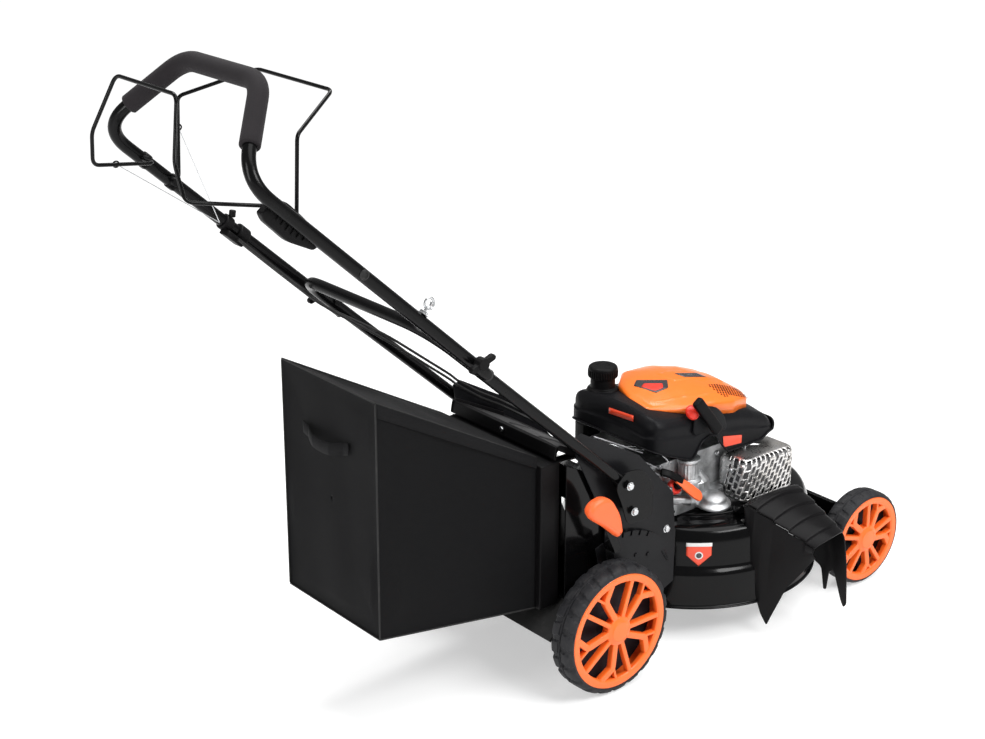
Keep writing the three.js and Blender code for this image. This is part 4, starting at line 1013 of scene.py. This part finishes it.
# ------------------------------------------------------------------ side chute, door, lever
def make_chute():
    """The side chute: its roof runs out from the hinge and down, arched across, with four
    pressed steps; each is a smooth ramp that ends in a short drop. Two skirts with pointed
    fangs hang from its edges, the near one a ruled surface between two lines."""
    u, v = np.meshgrid(np.linspace(0, 1, 73), np.linspace(0, 1, 37), indexing="ij")
    y = np.interp(u, [0, 0.12, 1], [-222, -232, -356])
    fall = np.interp(u, [0, 0.12, 1], [266, 265, 203])
    steps = 4.2 * ((u * 4.6) % 1) * np.clip((u - 0.06) / 0.05, 0, 1)
    arch = 13 * np.sin(math.pi * v) ** 0.8 * np.clip(0.35 + u / 0.3, 0, 1) * (1 - 0.35 * u)
    left, right = np.interp(u, [0, 0.2, 1], [354, 364, 412]), np.interp(u, [0, 1], [499, 492])
    roof = np.stack([left + (right - left) * v, y - 8 * np.sin(math.pi * v) * u ** 3,
                     fall + steps + arch + 10 * v * u], -1)
    build("chute_roof", grid(roof), finish("chute_plastic"), "side_chute",
          ["side_chute"], 50,
          thickness=3.4, outward=-1, rounding=0.5)
    # near skirt: straight lines from the roof's edge down to its jagged lower edge
    edge = roof[:, 0] - (0, 0, 1)
    foot = np.stack([np.interp(u[:, 0], [0, 0.2, 0.38, 0.45, 0.53, 0.66, 0.82, 1], track) for track in (
        [357, 359, 368, 374, 378, 388, 401, 413], [-228, -244, -268, -279, -290, -312, -338, -357],
        [222, 118, 44, 22, 52, 112, 152, 186])], -1)
    share = np.linspace(0, 1, 24)[None, :, None]
    near = edge[:, None] * (1 - share) + foot[:, None] * share
    near[..., 0] -= 6 * np.sin(math.pi * share[..., 0]) * np.clip(u[:, :1] * 3, 0, 1)
    build("chute_near_skirt", grid(near), finish("chute_plastic"), "side_chute",
          ["side_chute"], 50,
          thickness=3.2, outward=0, rounding=0.5)
    front = soften([(-226, 258), (-252, 254), (-300, 240), (-352, 216), (-360, 206), (-370, 150),
                    (-376, 66), (-370, 58),
                    (-362, 70), (-340, 128), (-328, 120), (-323, 78), (-317, 78), (-308, 124),
                    (-286, 132), (-266, 160),
                    (-250, 216)], [4, 8, 8, 4, 6, 20, 4, 3, 6, 12, 8, 3, 3, 8, 10, 16, 8], 4)
    barrel = rod((372.5, -216, 258), (491.5, -216, 258), 6.2, ends=1)
    walls = slab(front, 492.5, 496, "yz", 1) + barrel
    build("chute_skirts", walls, finish("chute_plastic"), "side_chute", ["side_chute"],
          45)


def make_door():
    """The rear door: a moulded lid that slopes up from its hinge to a turned-up flange, its
    upper face crowned and ribbed."""
    u, v = np.meshgrid(np.linspace(0, 1, 70), np.linspace(-1, 1, 61), indexing="ij")
    x = np.interp(u, [0, 0.06, 0.72, 0.8, 1.0], [50, 44, -64, -71, -76])
    z = np.interp(u, [0, 0.06, 0.72, 0.8, 1.0], [420, 423, 481, 480, 458])
    rib = 1.8 * np.clip((0.035 - np.abs((v * 3.5 + 0.5) % 1 - 0.5)) / 0.02, 0,
                        1) * ((u > 0.08) & (u < 0.66))
    z = z + rib + 3 * (1 - v ** 2) * np.sin(math.pi * np.clip(u / 0.75, 0,
            1)) - 5 * np.abs(v) ** 10 * (u < 0.75)
    points = np.stack([x, v * 150, z], -1)
    build("door_lid", grid(points), finish("black_plastic"), "rear_door",
          ["rear_door"], 45,
          thickness=3.4, outward=1, rounding=0.6)
    barrel = rod((52, -150, 413), (52, 150, 413), 7, ends=1.5)
    ends = both_sides(slab(soften([(58, 410), (56, 424), (-62, 483), (-73, 482), (-77, 459), (-73, 459),
                                   (-68, 474),
                                   (44, 408)], 4, 3), -150, -146.6))
    rivet = bolt((-74, 0, 470), (-1, 0, 0.2), 4, 3)
    build("door_edges", barrel + ends, finish("black_plastic"), "rear_door",
          ["rear_door"])
    build("door_rivet", rivet, finish("zinc"), "rear_door")


def make_levers():
    """The height lever's rounded grip, and the plates, arms and links of the height setting."""
    grip = soften([(12, 305), (-22, 336), (-54, 360), (-62, 378), (-50, 391), (-26, 397), (-4, 386),
                   (18, 350), (25, 314)],
                  [5, 14, 10, 9, 12, 12, 14, 16, 6], 6)
    build("lever_grip_soft", slab(grip, -232, -208.5, "xz", 9, 6), finish("grip_orange"), "rear_axle",
          ["lever_grip"], 40)
    for node, shade, rounding in (
            ("side_plate_right", "grey_paint", 0.7), ("side_plate_left", "grey_paint", 0.7),
            ("handle_bracket_right", "tube_black", 0.8), ("handle_bracket_left", "tube_black", 0.8),
            ("rear_axle", "zinc", 0.6), ("front_axle", "zinc", 0.6), ("height_link", "zinc", 0.4),
            ("height_lever", "tube_black", 0.5)):
        dress(node, shade, rounding)
    heads = Shape(np.zeros((0, 3)), [])
    for side in (-1, 1):
        for x, z, y in ((57, 389, 209), (70, 334, 209), (136, 216, 174.6), (104, 224, 174.6),
                        (190, 250, 174.6),
                        (-30, 470, 174.6)):
            if side < 0 or (x, z) not in ((136, 216), (104, 224)):
                heads = heads + bolt((x, side * y, z), (0, side, 0), 6.4, 5)
    build("frame_bolts", heads, finish("zinc"), "deck")
    ring = soften([(108, 270), (170, 238), (196, 190), (196, 178), (166, 226), (104, 262)], 6, 4)
    build("plate_ribs", both_sides(slab(ring, -176.5, -174.5, edge=1)), finish("grey_paint"), "deck")


# ------------------------------------------------------------------ handle
LOWER_LEG = [(57, -LOWER_Y, 389), (-385, -LOWER_Y, leg_z(-385), 75)]
UPPER_LEG = [(-283, -UPPER_Y, leg_z(-283)), (-735, -UPPER_Y, 1101, 60), (-634, -108, 1214, 34)]
BRAKE = [(-672, -198.8, 1041), (-672, -164, 1041, 8), (-792, -139, 1062, 14), (-797, -124, 1118, 10),
         (-767, -90, 1209, 14)]
DRIVE = [(-622, -198.8, 1006), (-622, -172, 1006, 8), (-615, -172, 1141, 10), (-504, -106, 1182, 14)]


def make_handle(grip_radius):
    """Both handle tubes, the foam grip, the end plugs and the clamps and knobs on them."""
    eyes = both_sides(rod((57, -LOWER_Y - 11, 389), (57, -LOWER_Y + 11, 389), 14, 32, 2))
    build("lower_tube", tube(mirror_route(LOWER_LEG), 11, steps=14) + eyes, finish("tube_black"),
          "lower_handle",
          ["lower_handle"])
    build("upper_tube", tube(mirror_route(UPPER_LEG), 11, steps=14), finish("tube_black"),
          "upper_handle",
          ["upper_handle"])
    a, b = np.array([-735, -UPPER_Y, 1101.0]), np.array([-634, -108, 1214.0])
    start = a + (b - a) * 0.33
    foam = build("grip_foam", tube(mirror_route([tuple(start), UPPER_LEG[2]]), grip_radius, steps=14,
                                   ends=2.5),
                 finish("foam"), "upper_handle", ["foam_grip"], 45)
    plugs = Shape(np.zeros((0, 3)), [])
    for side in (-1, 1):
        x, z = leg_point(-283, 0)
        end, way = np.array([x, side * UPPER_Y, z]), np.array([0.7403, 0, -0.6723])
        plugs = plugs + spin([(0, 0), (10.6, 0), (11.4, 1), (11.2, 4), (9, 6), (0, 6.4)], end, way, 40)
    hole = spin([(0, 0), (8.5, 0), (9, 1.2), (7.5, 3.4), (5, 4), (4.4, 2.6), (0, 2.4)],
                (-535, -UPPER_Y - 10.4, leg_z(-535)), (0, -1, 0), 36)
    build("tube_plugs", plugs + hole, finish("soft_rubber"), "upper_handle")
    for name in ("right", "left"):
        dress("wing_knob_" + name, "black_plastic", 1.6)
    outline = soften([(-706, 1044), (-700, 1030), (-661, 992), (-616, 970), (-600, 978), (-598, 988),
                      (-634, 1028),
                      (-660, 1054), (-682, 1061)], [4, 5, 10, 5, 4, 6, 10, 10, 5], 5)
    plate = slab(outline, -208, -190, "xz", 4, 4)
    for k in range(6):
        a, b = leg_point(-648, -21 + abs(k - 2.5) * 2, -30 + 12 * k), leg_point(-648, -9, -30 + 12 * k)
        plate = plate + carried(np.linspace((a[0], -209, a[1]), (b[0], -209, b[1]), 6),
                                box_section(3, 3, 0.8),
                                (0, 1, 0), 0.6)
    build("bail_bracket_right_shell", plate, finish("black_plastic"), "upper_handle",
          ["bail_bracket_right"])
    clips = Shape(np.zeros((0, 3)), [])
    for x in (-662, -612):
        a, b = leg_point(x, 0, -8), leg_point(x, 0, 8)
        foot, top = leg_point(x, -13), leg_point(x, 9)
        clips = clips + rod((a[0], UPPER_Y, a[1]), (b[0], UPPER_Y, b[1]), 13, 32, 2)
        clips = clips + rod((foot[0], 203, foot[1]), (top[0], 203, top[1]), 5.5, 20, 1)
        clips = clips + rod((x - 4, 190, leg_z(x) + 4), (x - 4, 204, leg_z(x) + 4), 7, 24, 1.5)
    build("bail_clips_left", clips, finish("black_plastic"), "upper_handle",
          ["bail_bracket_left"])
    clamp = Shape(np.zeros((0, 3)), [])
    for x, half, radius in ((-514, 9, 14.5), (-486, 12, 15.5)):
        a, b = leg_point(x, 0, -half), leg_point(x, 0, half)
        clamp = clamp + rod((a[0], UPPER_Y, a[1]), (b[0], UPPER_Y, b[1]), radius, 32, 2)
    a, b = leg_point(-500, -15, -20), leg_point(-500, -15, 20)
    clamp = clamp + carried(np.linspace((a[0], 199, a[1]), (b[0], 199, b[1]), 8),
                            box_section(26, 11, 3), LEG_UP, 2)
    low = leg_point(-514, 14)
    clamp = clamp + rod((low[0], 205, low[1]), (low[0] + 2, 205, low[1] + 12), 6, 20, 1.5)
    build("cable_clamp_rings", clamp, finish("black_plastic"), "upper_handle",
          ["cable_clamp"])
    eye = leg_point(-424, 32)
    coil = np.linspace(0, 1, 90)
    a = coil * TAU * 1.45 + math.pi * 1.1
    loop = np.stack([eye[0] + 9 * np.cos(a) * 0.9, -UPPER_Y - 5 + 10 * coil, eye[1] + 9 * np.sin(a)], 1)
    base = leg_point(-424, 12)
    stem = rod((base[0], -UPPER_Y, base[1]), (eye[0] - 5, -UPPER_Y, eye[1] - 8), 2.6)
    nut = bolt((base[0], -UPPER_Y, base[1] - 1), LEG_UP, 7.5, 6)
    build("rope_eye", carried(loop, circle(2.1, 16), (0.05, 1, 0.02), 0.8) + stem + nut, finish("zinc"),
          "upper_handle",
          ["rope_guide"])


def make_bails():
    """The two bails, and the bare inner wires that run from them to the cable clamp."""
    up = (0.7, 0.02, -0.7)
    build("brake_bail_bar", tube(mirror_route(BRAKE), 3.2, up, 20), finish("tube_black"), "brake_bail",
          ["brake_bail"])
    build("drive_bail_bar", tube(mirror_route(DRIVE), 3.2, up, 20), finish("tube_black"), "drive_bail",
          ["drive_bail"])
    clamp = leg_point(-515, -8, 20)
    for name, top, shade in (("brake", (-746, 150, 1054), "brake_bail"),
                             ("drive", (-617, 172, 1090), "drive_bail")):
        end = (clamp[0], 196, clamp[1])
        eye = spin(circle(1.3, 12) + (5, 0), top, (0.2, 1, 0.1), 24, True)
        build(f"{name}_bail_eyelet", eye, finish("tube_black"), shade)
        points = np.linspace(end, top, 40)
        wire = carried(points, circle(0.8, 10), (0.3, 1, 0.1))
        piece = build(f"{name}_inner_wire", wire, finish("zinc"), None)
        tuple(place(top))
        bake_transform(piece)


def make_cables():
    """The two control cables, each in two lengths: one bends where the lower handle turns on
    the deck and one where the upper handle turns on the lower, and they meet between."""
    clamp, low = leg_point(-500, -14), leg_point(-352, -22)
    for name, gap in (("brake", 0), ("drive", 10)):
        line = route([(clamp[0], 190 - gap, clamp[1]), (-440, 184 - gap, leg_z(-440) - 22, 20),
                      (low[0], 150 - gap, low[1], 30), (-250, 120, 664 - gap, 40),
                      (-100, 120, 549 - gap, 20),
                      (-55, 157, 516 - gap, 15), (0, 157, 477 - gap, 20), (62, 157, 442 - gap, 20),
                      (112 - gap, 100, 404, 25), (112 - gap, -16, 396)], 8, 6)
        split = int(np.argmin(np.abs(line[:, 0] + 215)))
        upper = carried(line[:split + 1], circle(2.5, 14), (0.55, 0.3, 0.78))
        lower = carried(line[split:], circle(2.5, 14), (0.55, 0.3, 0.78))
        nodes = [f"{name}_cable"]
        top = build(f"{name}_cable_upper", upper, finish("soft_rubber"), None, nodes)
        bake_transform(top)
        foot = build(f"{name}_cable_lower", lower, finish("soft_rubber"), None, nodes)
        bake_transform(foot)


# ------------------------------------------------------------------ grass bag
def make_bag(sag, wrinkle):
    """The grass bag: five sewn cloth panels that belly between their seams, corded piping
    round every seam, webbing over the top edge and a pull strap on the back."""
    y = 138
    side, rear = sewn_shell([(-108, 166, 470), (-461, 224, 662)], y, sag, wrinkle)
    build("bag_cloth", side + rear, finish("bag_cloth"), "grass_bag", ["bag_body"], 60,
          thickness=1.2, outward=1)
    seams = [[(-110, -y, 167), (-462, -y, 224)], [(-110, -y, 469), (-460, -y, 662)],
             [(-462, -y, 226), (-460, -y, 660)],
             [(-462, -y, 224), (-462, y, 224)], [(-460, -y, 662), (-460, y, 662)]]
    cord = Shape(np.zeros((0, 3)), [])
    for a, b in seams:
        line = carried(np.linspace(a, b, 60), circle(1.5, 12), (0.3, 0.35, 0.6), 0.6)
        cord = cord + (both_sides(line) if a[1] == b[1] else line)
    build("bag_piping", cord, finish("soft_rubber"), "grass_bag")
    # a stiffened band along the top edge of each side
    lower = np.linspace((-110, -139.6, 448), (-459, -139.6, 636), 60)
    upper = np.linspace((-110, -139.6, 469), (-459, -139.6, 661), 60)
    band = np.stack([lower, (lower + upper) / 2, upper], 0)
    uv = np.stack(np.meshgrid([0, 0.011, 0.022], np.linspace(0, 0.4, 60), indexing="ij"), -1)
    strip = grid(band, uv=uv)
    build("bag_band", strip + strip.mirrored(), finish("bag_trim"), "grass_bag",
          thickness=1.0, outward=0,
          weld=False)
    # pull strap: stitched down at both ends, standing off the panel between them
    t = np.linspace(0, 1, 60)
    lift = 11 * np.clip(np.minimum(t - 0.12, 0.88 - t) / 0.2, 0, 1) ** 0.8
    middle = np.stack([-463.5 - lift, 72 - 135 * t, 556 - 12 * np.sin(t * math.pi)], 1)
    across = np.array([-11.5, 0, 11.5])
    ribbon = middle[None] + np.stack([np.zeros(3), np.zeros(3), across], 1)[:, None]
    uv = np.stack(np.meshgrid(across * MM, t * 0.14, indexing="ij"), -1)
    build("bag_strap", grid(ribbon, uv=uv), finish("bag_trim"), "grass_bag",
          thickness=1.6, outward=0,
          weld=False)
    dress("bag_frame", "black_plastic", 2.0)


# ------------------------------------------------------------------ studio
def make_stage(studio):
    """A pale floor, an even soft sky, a broad sun and soft lights, and the camera."""
    t = Tree("studio_floor")
    cloud = t.noise(0.7, 3)
    paper = t.shader({"Specular IOR Level": 0.0, "Emission Color": (1.0, 1.0, 1.0, 1.0),
                      "Emission Strength": studio.glow},
                     {"Base Color": t.mix(cloud, tuple(0.985 * c for c in studio.floor),
                                          tuple(studio.floor)),
                      "Roughness": (cloud - 0.5) * 0.05 + 0.9})
    reach = np.linspace(-60, 60, 9)
    x, y = np.meshgrid(reach, reach, indexing="ij")
    floor = grid(np.stack([x, y, 0 * x - 0.0006], -1)[..., :] / MM)
    mesh = bpy.data.meshes.new("floor")
    mesh.from_pydata((floor.points * MM).tolist(), [], floor.faces[0].tolist())
    mesh.materials.append(paper)
    ground = bpy.data.objects.new("floor", mesh)
    bpy.context.scene.collection.objects.link(ground)

    world = bpy.data.worlds.new("studio_sky")
    bpy.context.scene.world = world
    world.use_nodes = True
    world.node_tree.nodes["Background"].inputs["Color"].default_value = (1, 1, 1, 1)
    world.node_tree.nodes["Background"].inputs["Strength"].default_value = studio.sky

    def lamp(name, kind, energy, at, aim, **settings):
        light = bpy.data.lights.new(name, kind)
        light.energy = energy
        for key, value in settings.items():
            setattr(light, key, value)
        holder = bpy.data.objects.new(name, light)
        holder.location = place(at)
        holder.rotation_euler = Vector(np.subtract(aim, at)).to_track_quat("-Z", "Y").to_euler()
        bpy.context.scene.collection.objects.link(holder)

    lamp("sun", "SUN", studio.sun, (900, -900, 3200), (0, 0, 0), angle=math.radians(50))
    lamp("key_panel", "AREA", studio.key, (600, -2300, 2300), (200, 0, 300), shape="RECTANGLE",
         size=1.5, size_y=0.8)
    lamp("side_panel", "AREA", studio.key * 0.6, (-2600, -400, 1500), (-100, 0, 500), shape="RECTANGLE",
         size=0.7,
         size_y=1.8)
    lamp("top_panel", "AREA", studio.key * 0.7, (300, 900, 2700), (200, 0, 400), shape="RECTANGLE",
         size=2.2, size_y=0.6)

    lens = bpy.data.cameras.new("camera")
    lens.lens, lens.sensor_width, lens.clip_end = 67.94, 36.0, 100.0
    camera = bpy.data.objects.new("camera", lens)
    yaw, pitch = math.radians(50.395), math.radians(20.79)
    way = Vector((math.cos(yaw) * math.cos(pitch), math.sin(yaw) * math.cos(pitch), -math.sin(pitch)))
    camera.location = place((-2113.9, -2438.2, 1794.7))
    camera.rotation_euler = way.to_track_quat("-Z", "Y").to_euler()
    bpy.context.scene.collection.objects.link(camera)
    bpy.context.scene.camera = camera
    bpy.context.scene.view_settings.view_transform = "Standard"


# ------------------------------------------------------------------ settings
def colour(name, description, default):
    return bpy.props.FloatVectorProperty(name=name, description=description, default=default, size=3,
                                         subtype="COLOR", min=0, max=1)


class MowerSizes(bpy.types.PropertyGroup):
    """Sizes that shape the mower's detailed pieces."""
    grip_radius: bpy.props.FloatProperty(
        name="Grip radius", description="Outer radius of the foam on the handle", default=0.0165,
        unit="LENGTH")
    lugs: bpy.props.IntProperty(name="Tread lugs", description="Lugs round one row of a rear tyre",
                                default=22)
    bag_sag: bpy.props.FloatProperty(
        name="Bag sag", description="How far the bag's cloth hangs in between seams", default=0.007,
        unit="LENGTH")
    bag_wrinkle: bpy.props.FloatProperty(
        name="Bag wrinkles", description="Height of the creases in the bag's cloth", default=0.002,
        unit="LENGTH")


class MowerFinish(bpy.types.PropertyGroup):
    """Colours of the mower's moulded and woven parts."""
    rim_colour: colour("Wheel orange", "Colour of the wheel faces", ORANGE)
    cover_colour: colour("Cover orange", "Colour of the engine's top cover", COVER_ORANGE)
    cloth_colour: colour("Bag cloth", "Colour of the grass bag's cloth", (0.0032, 0.0032, 0.0036))


class MowerStudio(bpy.types.PropertyGroup):
    """Light and floor of the studio."""
    sky: bpy.props.FloatProperty(name="Sky", description="Strength of the even white sky", default=0.3)
    sun: bpy.props.FloatProperty(name="Sun", description="Strength of the broad sun", default=2.0)
    key: bpy.props.FloatProperty(name="Panels", description="Power of the soft panels, in watts",
                                 default=60.0)
    floor: colour("Floor", "Colour of the studio floor", (0.62, 0.62, 0.62))
    glow: bpy.props.FloatProperty(name="Floor glow", description="Light that the lit floor gives off",
                                  default=0.46)


# ------------------------------------------------------------------ operators
class MOWER_OT_wheels(bpy.types.Operator):
    """Build the treaded tyres, the spoked orange faces and the webs behind them"""
    bl_idname = "mower.wheels"
    bl_label = "Wheels"

    def execute(self, context):
        make_wheels(context.scene.mower_sizes.lugs)
        return {"FINISHED"}


class MOWER_OT_deck(bpy.types.Operator):
    """Build the pressed deck with its brackets, and finish the covers on it"""
    bl_idname = "mower.deck"
    bl_label = "Deck"

    def execute(self, context):
        make_deck()
        return {"FINISHED"}


class MOWER_OT_labels(bpy.types.Operator):
    """Lay the blank shield on the deck"""
    bl_idname = "mower.labels"
    bl_label = "Blank labels"

    def execute(self, context):
        make_labels()
        return {"FINISHED"}


class MOWER_OT_housing(bpy.types.Operator):
    """Build the engine's fan housing, tank and filler neck"""
    bl_idname = "mower.housing"
    bl_label = "Fan housing"

    def execute(self, context):
        make_housing()
        return {"FINISHED"}


class MOWER_OT_cover(bpy.types.Operator):
    """Build the orange top cover with its grille, whose holes are painted shade, and blank plates"""
    bl_idname = "mower.cover"
    bl_label = "Top cover"

    def execute(self, context):
        make_cover()
        return {"FINISHED"}


class MOWER_OT_engine(bpy.types.Operator):
    """Finish the castings, and build the heat guard, links, screws and hoses"""
    bl_idname = "mower.engine"
    bl_label = "Engine metal"

    def execute(self, context):
        make_engine_metal()
        return {"FINISHED"}


class MOWER_OT_fillers(bpy.types.Operator):
    """Build the fuel cap, the dipstick and the starter's grip"""
    bl_idname = "mower.fillers"
    bl_label = "Caps and starter"

    def execute(self, context):
        make_fillers()
        return {"FINISHED"}


class MOWER_OT_chute(bpy.types.Operator):
    """Build the hinged side chute"""
    bl_idname = "mower.chute"
    bl_label = "Side chute"

    def execute(self, context):
        make_chute()
        return {"FINISHED"}


class MOWER_OT_door(bpy.types.Operator):
    """Build the rear door"""
    bl_idname = "mower.door"
    bl_label = "Rear door"

    def execute(self, context):
        make_door()
        return {"FINISHED"}


class MOWER_OT_levers(bpy.types.Operator):
    """Build the height lever's grip, and finish the plates, axles and links"""
    bl_idname = "mower.levers"
    bl_label = "Height setting"

    def execute(self, context):
        make_levers()
        return {"FINISHED"}


class MOWER_OT_handle(bpy.types.Operator):
    """Build the folding handle, its foam grip and its fittings"""
    bl_idname = "mower.handle"
    bl_label = "Handle"

    def execute(self, context):
        make_handle(context.scene.mower_sizes.grip_radius / MM)
        return {"FINISHED"}


class MOWER_OT_bails(bpy.types.Operator):
    """Build the two bails and their wires"""
    bl_idname = "mower.bails"
    bl_label = "Bails"

    def execute(self, context):
        make_bails()
        return {"FINISHED"}


class MOWER_OT_cables(bpy.types.Operator):
    """Build the control cables"""
    bl_idname = "mower.cables"
    bl_label = "Cables"

    def execute(self, context):
        make_cables()
        return {"FINISHED"}


class MOWER_OT_bag(bpy.types.Operator):
    """Build the sewn grass bag with its piping and strap"""
    bl_idname = "mower.bag"
    bl_label = "Grass bag"

    def execute(self, context):
        sizes = context.scene.mower_sizes
        make_bag(sizes.bag_sag / MM, sizes.bag_wrinkle / MM)
        return {"FINISHED"}


class MOWER_OT_stage(bpy.types.Operator):
    """Lay the floor, and set the sky, the lights and the camera"""
    bl_idname = "mower.stage"
    bl_label = "Studio"

    def execute(self, context):
        make_stage(context.scene.mower_studio)
        return {"FINISHED"}


class MOWER_PT_pieces(bpy.types.Panel):
    """Lists the mower's settings and pieces"""
    bl_idname = "MOWER_PT_pieces"
    bl_label = "Mower"
    bl_space_type = "VIEW_3D"
    bl_region_type = "UI"
    bl_category = "Mower"

    def draw(self, context):
        for owner, group in SETTINGS.items():
            box = self.layout.box()
            for key in group.__annotations__:
                box.prop(getattr(context.scene, owner), key)
        for piece in PIECES:
            self.layout.operator(piece.bl_idname)


SETTINGS = {"mower_sizes": MowerSizes, "mower_finish": MowerFinish, "mower_studio": MowerStudio}
PIECES = (MOWER_OT_stage, MOWER_OT_wheels, MOWER_OT_deck, MOWER_OT_labels, MOWER_OT_housing,
          MOWER_OT_cover,
          MOWER_OT_engine, MOWER_OT_fillers, MOWER_OT_chute, MOWER_OT_door, MOWER_OT_levers,
          MOWER_OT_handle,
          MOWER_OT_bails, MOWER_OT_cables, MOWER_OT_bag)


def register():
    for group in SETTINGS.values():
        bpy.utils.register_class(group)
    for piece in PIECES + (MOWER_PT_pieces,):
        bpy.utils.register_class(piece)
    for owner, group in SETTINGS.items():
        setattr(bpy.types.Scene, owner, bpy.props.PointerProperty(type=group))


def unregister():
    for owner in SETTINGS:
        delattr(bpy.types.Scene, owner)
    for piece in (MOWER_PT_pieces,) + PIECES[::-1]:
        bpy.utils.unregister_class(piece)
    for group in SETTINGS.values():
        bpy.utils.unregister_class(group)


def main():
    register()
    for piece in PIECES:
        group, action = piece.bl_idname.split(".")
        getattr(getattr(bpy.ops, group), action)()


if __name__ == "__main__":
    main()
